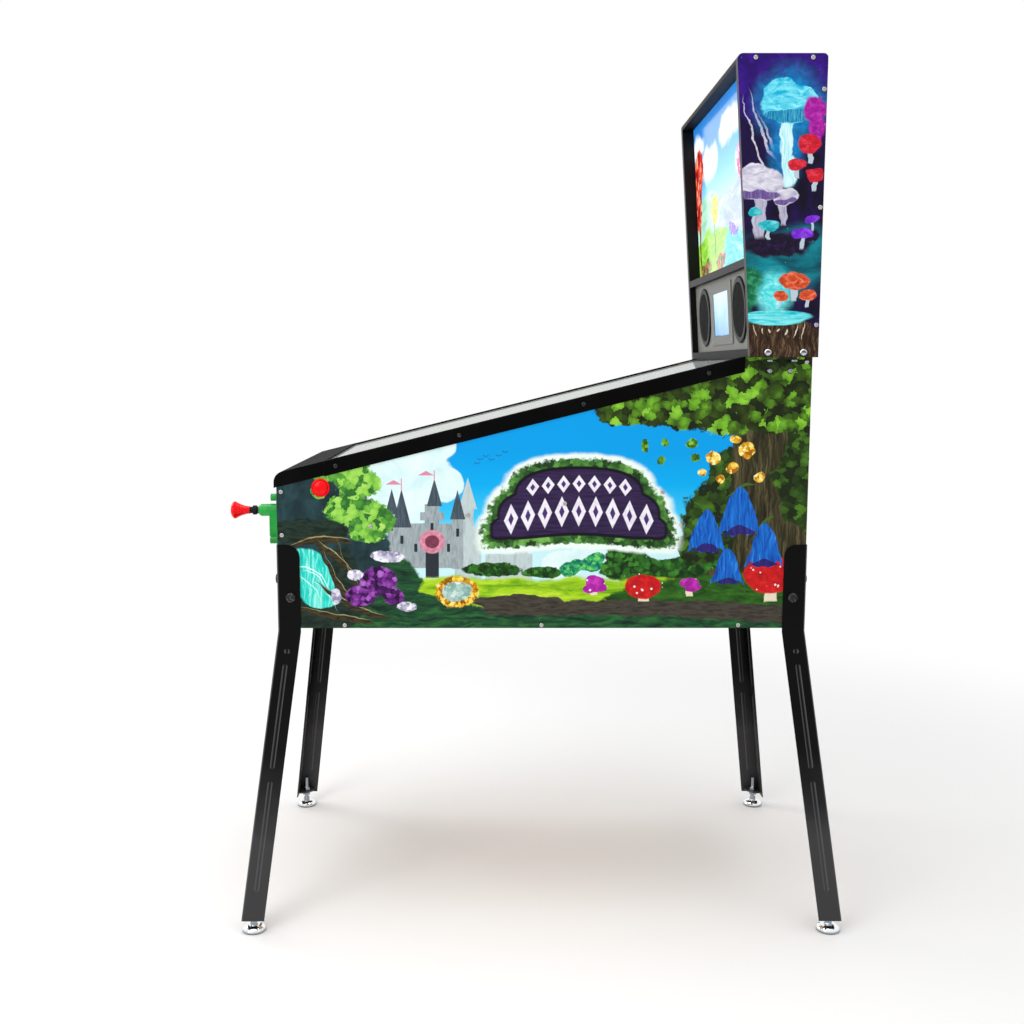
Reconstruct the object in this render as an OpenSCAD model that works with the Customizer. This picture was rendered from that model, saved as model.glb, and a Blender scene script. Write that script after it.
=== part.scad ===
// Pinball machine: a sloped cabinet on four splayed legs, a glass-topped playfield and an upright backbox.
// X runs to the player's right, Y from the player to the rear, Z up. The floor is Z = 0.

/* [Cabinet] */
// Width over the two side panels
cab_w = 559; // [500:1:680]
// Length of the side panels, front face to rear face
cab_l = 1033; // [860:1:1250]
// Height of the cabinet's underside above the floor
cab_z = 600; // [500:1:720]
// Height of a side panel at the front
front_h = 305; // [290:1:366]
// Height of a side panel at the rear
rear_h = 529; // [450:1:635]
// Length of the level stretch under the backbox
neck_l = 129; // [110:1:150]
// Thickness of the side, front and rear panels
ply = 18; // [15:0.5:22]
// Thickness of the floor panel
floor_t = 12; // [10:0.5:15]
// Radius of the nose at the top front corner
nose_r = 20; // [15:1:24]

/* [Rails, lockbar and glass] */
// Height of a side rail's outer flange
rail_h = 27; // [24:1:32]
// Thickness of the rail and lockbar sheet
rail_t = 1.6; // [1.2:0.1:2]
// Depth of the lockbar, front to rear
lock_d = 93; // [78:1:110]
// Space between the front panel and the lockbar's skirt
lock_out = 3; // [1:0.5:6]
// Thickness of the playfield glass
glass_t = 4.8; // [4:0.1:6]
// Depth of the glass's top face below the panel's top edge
glass_drop = 1.6; // [1.6:0.1:6]

/* [Legs] */
// Width of each flange of a leg
leg_w = 45; // [38:1:54]
// Thickness of the leg steel
leg_t = 2.5; // [2:0.1:3]
// Height of the leg above the cabinet's underside
leg_up = 166; // [140:1:190]
// Splay of the leg's lower length, in degrees, in both directions
splay = 7.3; // [6:0.1:8.7]
// Radius of a leveller's pad
pad_r = 23; // [19:0.5:27]
// Diameter of a leveller's stud
stud_d = 9.5; // [8:0.5:11.5]

/* [Fasteners] */
// Diameter of a cabinet bolt's shank
bolt_d = 9.5; // [8:0.5:11]
// Diameter of a leg bolt's head
bolt_head = 19; // [16:0.5:21]
// Diameter of a backbox bolt's head
small_head = 14; // [13:0.5:16]
// Diameter of a panel screw's head
screw_head = 8.5; // [7:0.5:9]

/* [Plunger] */
// Height of the plunger's axis above the cabinet's underside
plunger_up = 228.5; // [220:0.5:236]
// Distance from the cabinet's right side to the plunger's axis
plunger_in = 50.5; // [48:0.5:56]
// Diameter of the plunger rod
rod_d = 9.5; // [7.5:0.1:11.5]
// Diameter of the knob
knob_d = 35; // [29:1:42]
// Length of the knob
knob_l = 37.8; // [32:0.2:45]
// Travel of the plunger
plunger_pull = 38; // [32:1:40]

/* [Buttons] */
// Diameter of a push button's body
button_d = 28; // [23:0.5:30]
// Diameter of a button sleeve's flange
bezel_d = 36; // [33:0.5:37]
// Travel of a button
button_travel = 4; // [3:0.5:4]

/* [Service door] */
// Width of the door
door_w = 216; // [180:1:240]
// Height of the door
door_h = 190; // [160:1:210]

/* [Playfield] */
// Thickness of the playfield board
pf_t = 12; // [10:0.5:14]
// Length of the playfield board
pf_l = 800; // [680:1:860]
// Slope of the playfield, in degrees
pf_tilt = 6.8; // [6:0.1:7.5]
// Diameter of a ball
ball_d = 27; // [25:0.5:28]
// Length of a flipper, pivot to tip centre
flipper_l = 68; // [58:1:76]

/* [Backbox] */
// How far the backbox stands out past each side of the cabinet
head_over = 35; // [30:1:90]
// Height of the backbox
head_h = 551; // [460:1:660]
// Depth of the backbox at its foot
head_d = 129; // [115:1:150]
// How far the top of the front edge leans forward
head_lean = 38; // [0:1:45]
// Thickness of the backbox boards
head_ply = 16; // [14:0.5:18]
// Height of the speaker panel
speaker_h = 154; // [146:1:175]
// Diameter of a speaker's front ring
speaker_d = 131; // [110:1:136]
// Width of the display plate
plate_w = 223; // [200:1:230]
// Height of the display plate
plate_h = 130; // [118:1:136]

/* [Hidden] */
$fn = 48;

// Clearances
run_gap = 0.08;      // round part that turns or slides in a bore
bolt_gap = 0.1;      // round fastener in its hole
seat_gap = 0.2;      // sheet laid over a panel
door_gap = 1;        // door to frame, all round
slot_gap = 0.25;     // board in a groove

// Cabinet
half_w = cab_w / 2;
in_w = half_w - ply;
top_front = cab_z + front_h;
top_rear = cab_z + rear_h;
neck_y = cab_l - neck_l;
slope = (rear_h - front_h) / neck_y;
tilt = atan(slope);
stretch = sqrt(1 + slope * slope);
nose_c = [nose_r, top_front + slope * nose_r - nose_r * stretch];
lock_nose = nose_c - lock_out * [1, slope];
front_top = top_front - 22;          // top edge of the front panel
skirt_z = top_front - rail_h;        // lower edge of the lockbar's skirt
neck_t = ply;

// Fasteners
bolt_l = leg_t + ply + 3;
bolt_head_h = 6;
screw_d = 4;
screw_l = 28;
short_screw_l = 16;
screw_head_h = 2.4;

// Legs and levellers
bend_drop = 5;                       // bend below the cabinet's underside
bend_z = cab_z - bend_drop;
leg_end = 28;                        // height of the leg's lower end
lean_a = atan(sqrt(2) * tan(splay)); // splay in both directions as one turn
leg_corner = 4;
bead_r = 9;                          // round of the pressed beads
bead_t = 1.4;                        // depth of the beads
leg_round = 25;
plate_z = 36;                        // underside of the foot plate
plate_t = 3.5;
foot_inset = 20.3;
corner_out = leg_t + tan(splay) * (bend_z - plate_z);
foot_out = corner_out - foot_inset;
nut_h = 8;
nut_af = 17;
leg_bolt_in = 24.5;                  // bolt axis from the cabinet's corner
leg_bolt_side = 62;                  // side bolt above the underside
leg_bolt_end = 95;                   // front or rear bolt above the underside
corner_plate_t = 3;
corner_plate_w = 42;

// Plunger
plunger_x = half_w - plunger_in;
plunger_z = cab_z + plunger_up;
knob_y = -62.6;                      // knob's inner end
barrel_end = -44.4;
body_end = -22;
sleeve_end = ply + 8;                // housing's sleeve inside the panel
spring_end = sleeve_end + plunger_pull + 12;
tip_end = 98;
knob_reach = knob_l - knob_y;

// The origin is the middle of the plan's outline
mid_y = (cab_l + foot_out + pad_r - knob_reach) / 2;

// Buttons
flipper_button_y = 86;
flipper_button_z = skirt_z + slope * flipper_button_y - (bezel_d / 2 + 2.7) * stretch;
start_x = -(half_w - 90);
start_z = cab_z + 215;
barrel_d = button_d + 3.4;
sleeve_nut_d = barrel_d + 11;
sleeve_nut_in = 7.4;                 // reach of the sleeve's nut past the panel
sleeve_l = ply + 9;

// Door
door_z = cab_z + 118;
jamb_t = 3;
flange_w = 13;
hinge_x = -(door_w / 2 + 8);
hinge_y = -8.4;
pin_d = 5;
knuckle_d = 10;
lock_x = door_w / 2 - 22;
lock_d2 = 19;
cam_l = 34;

// Playfield, whose frame starts at the board's front top edge
pf_y = 95;
pf_z = plunger_z - ball_d / 2;
pf_mid = -17;
flipper_v = 235;
flipper_gap = 24;                    // half the gap between the flippers' tips
flipper_rest = 30;
flipper_r = 12;
flipper_tip_r = 6.5;
flipper_x = flipper_gap + flipper_tip_r + flipper_l * cos(flipper_rest);
shaft_d = 8;
cleat_h = 22;
apron_n = 40;

// Backbox, whose frame starts at the front edge's foot
head_half = half_w + head_over;
head_in = head_half - head_ply;
head_y = neck_y + 1;
head_rear = head_y + head_d;
head_top = top_rear + head_h;
head_a = atan(head_lean / head_h);
head_round = 10;
groove_d = 4;
panel_d = 14;                        // recess of the speaker panel
panel_t = 12;
lite_d = 25;                         // recess of the lit picture panel
lite_t = 3;
bar_h = 15;
lamp_d = 60;
lamp_t = 12;
bar_foot = head_ply + speaker_h;
speaker_x = head_in - 113;
speaker_up = head_ply + speaker_h / 2 + 1;
screen_w = plate_w - 69;
screen_h = plate_h - 37;
bracket_t = 4;
bracket_y0 = head_y + 18;
bracket_y1 = head_y + 105;

// ---- Places and frames ----

// Cabinet frame (Y = 0 at the front face) to the model's own frame
module placed() {
    translate([0, -mid_y, 0]) children();
}

// An outline drawn in Y and Z, extruded along X from x0
module side_view(x0, thick) {
    translate([x0, 0, 0]) rotate([90, 0, 90]) linear_extrude(thick) children();
}

// Children drawn for the right side, and their mirror image on the left
module both_sides() {
    children();
    mirror([1, 0, 0]) children();
}

// Local +Z points out of the cabinet's right side
module on_side(y, z) {
    translate([half_w, y, z]) rotate([90, 0, 90]) children();
}

// Local +Z points out of the cabinet's front
module on_front(x, z) {
    translate([x, 0, z]) rotate([90, 0, 0]) children();
}

// Frame that follows the side panels' sloped top edge
module on_slope() {
    translate([0, 0, top_front]) rotate([tilt, 0, 0]) children();
}

// Frame of the playfield: X, length up the slope, and height off the board
module on_playfield() {
    translate([0, pf_y, pf_z]) rotate([pf_tilt, 0, 0]) children();
}

// Frame of the backbox's leaning front: X, depth to the rear, and height
module on_head() {
    translate([0, head_y, top_rear]) rotate([head_a, 0, 0]) children();
}

// Local +Z points out of the backbox's leaning front, at a given depth
module on_head_face(x, depth, up) {
    on_head() translate([x, depth, up]) rotate([90, 0, 0]) children();
}

// One of the four corners, drawn for the front right
module at_corner(side, rear) {
    mirror([side < 0 ? 1 : 0, 0, 0])
        translate([half_w, rear ? cab_l : 0, 0])
            mirror([0, rear ? 1 : 0, 0]) children();
}

module at_corners() {
    for (side = [1, -1], rear = [false, true]) at_corner(side, rear) children();
}

function top_at(y) = top_front + slope * y;
function arc(c, r, from, to, n)
    = [for (i = [0:n]) let (a = from + (to - from) * i / n) c + r * [cos(a), sin(a)]];
function head_pt(depth, up) = [
    head_y + depth * cos(head_a) - up * sin(head_a),
    top_rear + depth * sin(head_a) + up * cos(head_a)
];

// ---- Fasteners ----

// A bolt with a domed head, seated at Z = 0 and pointing down
module bolt(head) {
    translate([0, 0, -bolt_l]) cylinder(d = bolt_d, h = bolt_l + 1);
    cylinder(d = head, h = bolt_head_h * 0.4);
    translate([0, 0, bolt_head_h * 0.4]) cylinder(d1 = head, d2 = head * 0.62, h = bolt_head_h * 0.6);
}

module bolt_hole(depth = bolt_l + 3) {
    translate([0, 0, -depth]) cylinder(d = bolt_d + 2 * bolt_gap, h = depth + 3);
}

// A pan-head panel screw, seated at Z = 0 and pointing down
module screw(length = screw_l) {
    translate([0, 0, -length]) cylinder(d = screw_d, h = length + 0.5);
    cylinder(d = screw_head, h = screw_head_h * 0.5);
    translate([0, 0, screw_head_h * 0.5])
        cylinder(d1 = screw_head, d2 = screw_head * 0.7, h = screw_head_h * 0.5);
}

module screw_hole(length = screw_l) {
    translate([0, 0, -length - 1]) cylinder(d = screw_d + 2 * bolt_gap, h = length + 4);
}

// Bolts of one leg: one through the side flange, one through the end flange
module at_leg_bolts() {
    translate([leg_t, leg_bolt_in, cab_z + leg_bolt_side]) rotate([90, 0, 90]) children();
    translate([-leg_bolt_in, -leg_t, cab_z + leg_bolt_end]) rotate([90, 0, 0]) children();
}

// Two bolts from each backbox bracket into the cabinet's side
module at_bracket_side_bolts() {
    for (y = [bracket_y0 + 27, bracket_y1 - 21])
        on_side(y, top_rear - neck_t - 8) translate([0, 0, bracket_t]) children();
}

// Two bolts up through each bracket's flange into the backbox floor
module at_bracket_flange_bolts() {
    for (y = [bracket_y0 + 25.5, bracket_y1 - 16])
        translate([half_w + bracket_t + small_head / 2 + 2, y, top_rear - bracket_t]) rotate([180, 0, 0])
            children();
}

// Two bolts through each backbox side into the floor's end
module at_head_bolts() {
    for (y = [head_y + 33, head_rear - 29])
        translate([head_half, y, top_rear + head_ply / 2]) rotate([90, 0, 90]) children();
}

// Four screws along each rail
module at_rail_screws() {
    for (i = [0:3]) {
        y = lock_d + 23 + i * (neck_y - lock_d - 92) / 3;
        on_side(y, top_at(y) - 13) translate([0, 0, rail_t]) children();
    }
}

// Screws through a side panel into the floor's edge, front panel, neck board and cleat
module at_panel_screws() {
    for (i = [0:2]) on_side(129 + i * (cab_l - 258) / 2, cab_z + floor_t / 2) children();
    on_side(ply / 2, skirt_z - 8) children();
    on_side(ply / 2, cab_z + 185) children();
    on_side(cab_l - 11, top_rear - neck_t / 2) children();
    for (i = [0:3]) {
        v = 85 + i * (pf_l - 228) / 3;
        c = [v * cos(pf_tilt) + 23 * sin(pf_tilt), v * sin(pf_tilt) - 23 * cos(pf_tilt)];
        on_side(pf_y + c[0], pf_z + c[1]) children();
    }
}

// Screws through a backbox side into the top board and the back
module at_head_screws() {
    for (y = [head_y - head_lean + 34, head_rear - 28])
        translate([head_half, y, head_top - head_ply / 2]) rotate([90, 0, 90]) children();
    for (z = [head_top - 64, top_rear + head_h / 2, top_rear + 60])
        translate([head_half, head_rear - 6, z]) rotate([90, 0, 90]) children();
}

module at_housing_screws() {
    for (p = housing_feet) on_front(plunger_x + p[0], plunger_z + p[1])
        translate([0, 0, housing_plate_t]) children();
}

module at_frame_screws() {
    for (x = [-1, 1], z = [-1, 1])
        on_front(x * (door_w / 2 - 30), door_z + z * (door_h / 2 + door_gap + flange_w / 2 + 1))
            translate([0, 0, 3]) children();
}

module at_plate_screws() {
    for (x = [-1, 1], z = [-1, 1])
        on_head_face(x * (plate_w / 2 - 12), panel_d - 2.5, speaker_up + z * (plate_h / 2 - 9)) children();
}

// ---- Cabinet ----

module side_outline() {
    polygon(concat(
        [[0, cab_z], [cab_l, cab_z], [cab_l, top_rear], [neck_y, top_rear]],
        arc(nose_c, nose_r, 90 + tilt, 180, 8)
    ));
}

module side_panel() {
    placed() difference() {
        side_view(in_w, ply) side_outline();
        at_corner(1, false) at_leg_bolts() bolt_hole();
        at_corner(1, true) at_leg_bolts() bolt_hole();
        at_bracket_side_bolts() bolt_hole();
        at_rail_screws() screw_hole(short_screw_l);
        at_panel_screws() screw_hole();
        on_side(flipper_button_y, flipper_button_z) sleeve_hole();
    }
}

module side_panel_right() {
    color("midnightblue") side_panel();
}

module side_panel_left() {
    color("midnightblue") mirror([1, 0, 0]) side_panel();
}

module front_panel() {
    opening_w = door_w + 2 * door_gap + 2 * jamb_t + 0.6;
    opening_h = door_h + 2 * door_gap + 2 * jamb_t + 0.6;
    color("midnightblue") placed() difference() {
        translate([-in_w, 0, cab_z]) cube([2 * in_w, ply, front_top - cab_z]);
        translate([-opening_w / 2, -1, door_z - opening_h / 2]) cube([opening_w, ply + 2, opening_h]);
        at_corner(1, false) at_leg_bolts() bolt_hole();
        at_corner(-1, false) at_leg_bolts() bolt_hole();
        both_sides() at_panel_screws() screw_hole();
        at_housing_screws() screw_hole(short_screw_l);
        at_frame_screws() screw_hole(short_screw_l);
        on_front(start_x, start_z) sleeve_hole();
        on_front(plunger_x, plunger_z) translate([0, 0, -ply - 1]) cylinder(d = 20.6, h = ply + 2);
    }
}

module rear_panel() {
    color("black") placed() difference() {
        translate([-in_w, cab_l - ply, cab_z]) cube([2 * in_w, ply, rear_h - neck_t]);
        at_corner(1, true) at_leg_bolts() bolt_hole();
        at_corner(-1, true) at_leg_bolts() bolt_hole();
        for (i = [-4:4], j = [0:1]) translate([i * 34, cab_l - ply - 1, cab_z + 250 + j * 70])
            vent_slot(50, 8);
        at_inlet() translate([-inlet_w / 2 - 0.3, -30, -inlet_h / 2 - 0.3])
            cube([inlet_w + 0.6, 40, inlet_h + 0.6]);
    }
}

// An upright slot with round ends through a panel that faces Y
module vent_slot(tall, wide) {
    translate([-wide / 2, 0, 0]) cube([wide, ply + 2, tall - wide]);
    for (z = [0, tall - wide]) translate([0, 0, z]) rotate([-90, 0, 0]) cylinder(d = wide, h = ply + 2);
}

module cabinet_floor() {
    color("tan") placed() difference() {
        translate([-in_w, ply, cab_z]) cube([2 * in_w, cab_l - 2 * ply, floor_t]);
        both_sides() at_panel_screws() screw_hole();
        for (i = [-3:3], j = [-3:3])
            if (i * i + j * j < 12) translate([i * 14, 380 + j * 14, cab_z - 1])
                cylinder(d = 8, h = floor_t + 2);
    }
}

module cable_hole(z, h) {
    translate([-80, head_y + 40, z]) cube([160, 60, h]);
}

module neck_board() {
    color("tan") placed() difference() {
        translate([-in_w, neck_y, top_rear - neck_t]) cube([2 * in_w, neck_l, neck_t]);
        cable_hole(top_rear - neck_t - 1, neck_t + 2);
        both_sides() at_panel_screws() screw_hole();
    }
}

// Steel angle inside each corner, tapped for the leg bolts
module leg_plates() {
    h = 90;
    color("silver") placed() at_corners() difference() {
        translate([-ply - corner_plate_w, ply, cab_z + 35]) cube([corner_plate_w, corner_plate_w, h]);
        translate([-ply - corner_plate_w - 1, ply + corner_plate_t, cab_z + 34])
            cube([corner_plate_w - corner_plate_t + 1, corner_plate_w, h + 2]);
        at_leg_bolts() bolt_hole();
    }
}

// ---- Rails, lockbar and glass ----

module side_rails() {
    color([0.1, 0.1, 0.1]) placed() both_sides() difference() {
        intersection() {
            on_slope() union() {
                translate([half_w, 0, -rail_h]) cube([rail_t, cab_l, rail_h + rail_t]);
                translate([in_w - 5, 0, 0]) cube([ply + 5 + rail_t, cab_l, rail_t]);
            }
            translate([0, lock_d + 0.5, 0]) cube([head_half, neck_y - lock_d - 0.7, head_top]);
        }
        at_rail_screws() screw_hole();
    }
}

// Closed outline of the lockbar's skin, between two offsets from the side panel's edge
module lockbar_skin(near, far) {
    polygon(concat(
        [[lock_d, top_at(lock_d) + far * stretch]],
        arc(lock_nose, nose_r + far, 90 + tilt, 180, 12),
        [[-far - lock_out, skirt_z], [-near - lock_out, skirt_z]],
        arc(lock_nose, nose_r + near, 180, 90 + tilt, 12),
        [[lock_d, top_at(lock_d) + near * stretch]]
    ));
}

module lockbar_cap(far) {
    polygon(concat(
        [[lock_d, top_at(lock_d) + far * stretch]],
        arc(lock_nose, nose_r + far, 90 + tilt, 180, 12),
        [[-far - lock_out, skirt_z], [lock_d, skirt_z + slope * (lock_d + lock_out)]]
    ));
}

module at_lock_studs() {
    for (x = [-120, 120]) translate([x, 40, 0]) children();
}

module lockbar() {
    far = seat_gap + rail_t;
    end_x = half_w + seat_gap;
    lip = glass_drop - 0.6;
    color([0.12, 0.12, 0.12]) placed() {
        side_view(-end_x - rail_t, 2 * (end_x + rail_t)) lockbar_skin(seat_gap, far);
        side_view(end_x, rail_t) lockbar_cap(far);
        side_view(-end_x - rail_t, rail_t) lockbar_cap(far);
        translate([-in_w + 14, 0, 0]) side_view(0, 2 * in_w - 28) polygon([
            [lock_d - 2, top_at(lock_d) - lip], [lock_d, top_at(lock_d) - lip],
            [lock_d, top_at(lock_d) + 0.6], [lock_d - 2, top_at(lock_d) + 0.6]
        ]);
        at_lock_studs() translate([0, 0, front_top - 11])
            cylinder(d = 10, h = top_at(35) + far - front_top + 11);
    }
}

// Folded steel catch plate on the front panel, which the lockbar's studs drop into
module lockbar_receiver() {
    wide = 360;
    sheet = 2;
    color("silver") placed() difference() {
        union() {
            translate([-wide / 2, 2, front_top]) cube([wide, 58, sheet]);
            translate([-wide / 2, ply, front_top - 34]) cube([wide, sheet, 35]);
            translate([-wide / 2, 58, front_top - 18]) cube([wide, sheet, 19]);
        }
        at_lock_studs() translate([0, 0, front_top - 1]) cylinder(d = 11, h = 4);
        for (x = [-150, -50, 50, 150]) translate([x, ply - 1, front_top - 22]) rotate([-90, 0, 0])
            cylinder(d = 5, h = 4);
    }
}

glass_x = in_w - 5.5;
glass_v0 = 80 / cos(tilt);

module glass_slab(grow) {
    end_v = (neck_y - 3) / cos(tilt) - glass_drop * sin(tilt);
    translate([-glass_x - grow, glass_v0, -glass_drop - glass_t - grow])
        cube([2 * (glass_x + grow), end_v - glass_v0 + grow, glass_t + 2 * grow]);
}

module glass_channels() {
    wall = 2;
    lip = 1;
    chan_w = 12;
    chan_h = wall + glass_t + lip;
    color([0.15, 0.15, 0.15]) placed() difference() {
        union() {
            both_sides() on_slope() translate([in_w - chan_w, lock_d + 6, -glass_drop - glass_t - wall])
                cube([chan_w, neck_y - lock_d - 24, chan_h]);
            intersection() {
                on_slope()
                    translate([-in_w + chan_w + 1, (neck_y - 12) / cos(tilt), -glass_drop - glass_t - wall])
                    cube([2 * (in_w - chan_w - 1), 40, chan_h]);
                translate([-in_w, 0, 0]) cube([2 * in_w, neck_y, head_top]);
            }
        }
        on_slope() glass_slab(0.15);
    }
}

module playfield_glass() {
    color([0.8, 0.9, 0.9, 0.3]) placed() on_slope() glass_slab(0);
}

// ---- Legs and levellers ----

// Section of the steel angle: its outer corner at [leg_t, -leg_t]
module leg_section() {
    difference() {
        translate([leg_t - leg_w, -leg_t]) square([leg_w, leg_w]);
        translate([-leg_w, 0]) square([leg_w, leg_w]);
        difference() {
            translate([leg_t - leg_corner, -leg_t - 1]) square([leg_corner + 1, leg_corner + 1]);
            translate([leg_t - leg_corner, -leg_t + leg_corner]) circle(leg_corner);
        }
    }
}

// Turns the lower length outward about the corner, by a share of the full splay
module splayed(share) {
    translate([leg_t, -leg_t, bend_z]) rotate(a = lean_a * share, v = [-1, -1, 0])
        translate([-leg_t, leg_t, 0]) children();
}

// Rounds the free upper corner of the side flange
module leg_top_cut() {
    y = leg_w - leg_t - leg_round;
    z = cab_z + leg_up - leg_round;
    translate([-1, y, z]) difference() {
        cube([leg_t + 2, leg_round + 1, leg_round + 1]);
        translate([-1, 0, 0]) rotate([0, 90, 0]) cylinder(r = leg_round, h = leg_t + 4);
    }
}

// Round-bottomed beads and a dimple along the middle of the side flange's lower length
module leg_beads(axis_x) {
    mid = (leg_w - 2 * leg_t) / 2;
    full = bend_z - leg_end;
    for (span = [[0.12, 0.47], [0.53, 0.9]]) {
        translate([axis_x, mid, -full * span[1]]) cylinder(r = bead_r, h = full * (span[1] - span[0]));
        for (end = span) translate([axis_x, mid, -full * end]) sphere(r = bead_r);
    }
    translate([axis_x, mid, -38]) sphere(r = bead_r + 0.4);
}

// Ridges that the beads raise on the flange's inner face
module bead_backs() {
    intersection() {
        leg_beads(bead_r - bead_t);
        translate([-2 * bead_t, 0, -bend_z]) cube([2 * bead_t + 0.2, leg_w, bend_z]);
    }
}

// Upper and lower lengths meet on the plane that halves the bend and share a thin band there
module leg() {
    reach = 3 * leg_w;
    band = 0.4;
    difference() {
        union() {
            difference() {
                translate([0, 0, bend_z - 12]) linear_extrude(cab_z + leg_up - bend_z + 12) leg_section();
                splayed(0.5) translate([-reach / 2, -reach / 2, -40 - band]) cube([reach, reach, 40]);
            }
            difference() {
                splayed(1) translate([0, 0, 12 - cab_z]) linear_extrude(cab_z) leg_section();
                splayed(0.5) translate([-reach / 2, -reach / 2, 0]) cube([reach, reach, 40]);
            }
            splayed(1) bead_backs();
            splayed(1) mirror([1, 1, 0]) bead_backs();
            foot_plate();
        }
        at_leg_bolts() bolt_hole();
        leg_top_cut();
        mirror([1, 1, 0]) leg_top_cut();
        splayed(1) leg_beads(leg_t + bead_r - bead_t);
        splayed(1) mirror([1, 1, 0]) leg_beads(leg_t + bead_r - bead_t);
        translate([-cab_w / 2, -cab_w / 2, leg_end - cab_z]) cube([cab_w, cab_w, cab_z]);
        translate([foot_out, -foot_out, plate_z - 5]) cylinder(d = stud_d + 2 * run_gap, h = plate_t + 10);
    }
}

// Small welded plate that closes the leg's end and carries the leveller
module foot_plate() {
    side = leg_w - 7;
    translate([corner_out - side - 1, 1 - corner_out, plate_z]) difference() {
        cube([side, side, plate_t]);
        translate([0, side, -1]) rotate([0, 0, 45]) translate([-12, -12, 0]) cube([24, 24, plate_t + 2]);
    }
}

module leg_front_right() {
    color([0.13, 0.13, 0.14]) placed() at_corner(1, false) leg();
}

module leg_front_left() {
    color([0.13, 0.13, 0.14]) placed() at_corner(-1, false) leg();
}

module leg_rear_right() {
    color([0.13, 0.13, 0.14]) placed() at_corner(1, true) leg();
}

module leg_rear_left() {
    color([0.13, 0.13, 0.14]) placed() at_corner(-1, true) leg();
}

module leveller() {
    translate([foot_out, -foot_out, 0]) {
        rotate_extrude() polygon(concat(
            [[0, 0], [pad_r - 1.5, 0], [pad_r, 1.5], [pad_r, 4]],
            [for (a = [15:15:75]) [8 + (pad_r - 8) * cos(a), 4 + 9 * sin(a)]],
            [[8, 13], [8, 15], [0, 15]]
        ));
        translate([0, 0, 14]) cylinder(d = 15, h = 7, $fn = 6);
        cylinder(d = stud_d, h = 72);
    }
}

module leveller_front_right() {
    color("gainsboro") placed() at_corner(1, false) leveller();
}

module leveller_front_left() {
    color("gainsboro") placed() at_corner(-1, false) leveller();
}

module leveller_rear_right() {
    color("gainsboro") placed() at_corner(1, true) leveller();
}

module leveller_rear_left() {
    color("gainsboro") placed() at_corner(-1, true) leveller();
}

// A nut under each foot plate and one on it
module leveller_nuts() {
    color("gainsboro") placed() at_corners()
        for (z = [plate_z - nut_h, plate_z + plate_t]) translate([foot_out, -foot_out, z]) difference() {
            cylinder(d = nut_af / cos(30), h = nut_h, $fn = 6);
            translate([0, 0, -1]) cylinder(d = stud_d + 2 * run_gap, h = nut_h + 2);
        }
}

module cabinet_bolts() {
    color("gainsboro") placed() {
        at_corners() at_leg_bolts() bolt(bolt_head);
        both_sides() at_bracket_side_bolts() bolt(small_head);
        both_sides() at_bracket_flange_bolts() bolt(small_head);
        both_sides() at_head_bolts() bolt(small_head);
    }
}

module panel_screws() {
    color([0.15, 0.15, 0.15]) placed() {
        both_sides() at_rail_screws() screw(short_screw_l);
        both_sides() at_panel_screws() screw();
        both_sides() at_head_screws() screw();
        at_housing_screws() screw(short_screw_l);
        at_frame_screws() screw(short_screw_l);
        at_plate_screws() screw(short_screw_l);
    }
}

// ---- Plunger ----

// Local +Z runs out of the cabinet along the plunger's axis
module on_plunger() {
    on_front(plunger_x, plunger_z) children();
}

// Base plate with three screw bosses, a deep body below the axis, and the barrel round the rod
housing_feet = [[0, 25.5], [-15, -58], [15, -58]];
housing_plate_t = 6;

module housing_body() {
    half = 26;
    body_r = 12.7;
    drop = 51;
    nose = 5;
    barrel_w = 24.2;
    translate([-half, -drop, 0]) cube([2 * half, drop + 7, housing_plate_t]);
    translate([0, 7, 0]) cylinder(r = half, h = housing_plate_t);
    translate([-half + 8, -66, 0]) cube([2 * half - 16, 30, housing_plate_t]);
    for (x = [-1, 1]) translate([x * (half - 8), -58, 0]) cylinder(r = 8, h = housing_plate_t);
    for (p = housing_feet) translate([p[0], p[1], 0]) cylinder(r = 7.2, h = -body_end - 2);
    translate([-body_r, -drop, 0]) cube([2 * body_r, drop, -body_end]);
    cylinder(r = body_r, h = -body_end);
    cylinder(d = barrel_w, h = -barrel_end - nose);
    translate([0, 0, -barrel_end - nose]) cylinder(d1 = barrel_w, d2 = 17, h = nose);
    translate([0, 0, -sleeve_end]) cylinder(d = 20, h = sleeve_end);
}

module plunger_housing() {
    color("limegreen") placed() difference() {
        on_plunger() housing_body();
        on_plunger() translate([0, 0, -sleeve_end - 1]) cylinder(d = rod_d + 2 * run_gap, h = 80);
        at_housing_screws() screw_hole();
        at_housing_screws() cylinder(d = screw_head + 1, h = 30);
    }
}

module plunger_rod() {
    color("gainsboro") placed() on_plunger() translate([0, 0, -tip_end + 3])
        cylinder(d = rod_d, h = tip_end - 3 + 84);
}

// The knob flares from a narrow neck to a rounded end
module plunger_knob() {
    near = -knob_y;
    neck = rod_d / 2 + 2.6;
    big = knob_d / 2;
    end_h = 9;
    flare = knob_l - end_h;
    color("red") placed() on_plunger() difference() {
        rotate_extrude() polygon(concat(
            [[0, near]],
            [for (i = [0:7]) [neck + (big - neck) * pow(i / 7, 1.8), near + flare * i / 7]],
            [for (a = [15:15:75]) [big * cos(a), near + flare + end_h * sin(a)]],
            [[0, knob_reach]]
        ));
        translate([0, 0, near - 1]) cylinder(d = rod_d + 2 * run_gap, h = 85 - near + 1);
    }
}

// Coil of round wire about the rod, between the housing's sleeve and its seat washer
spring_r = 7.6;
spring_wire = 1.5;
spring_turns = 7;
spring_steps = 14;
spring_from = sleeve_end + spring_wire / 2 + 0.3;
spring_to = spring_end - spring_wire / 2 - 0.3;

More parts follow.
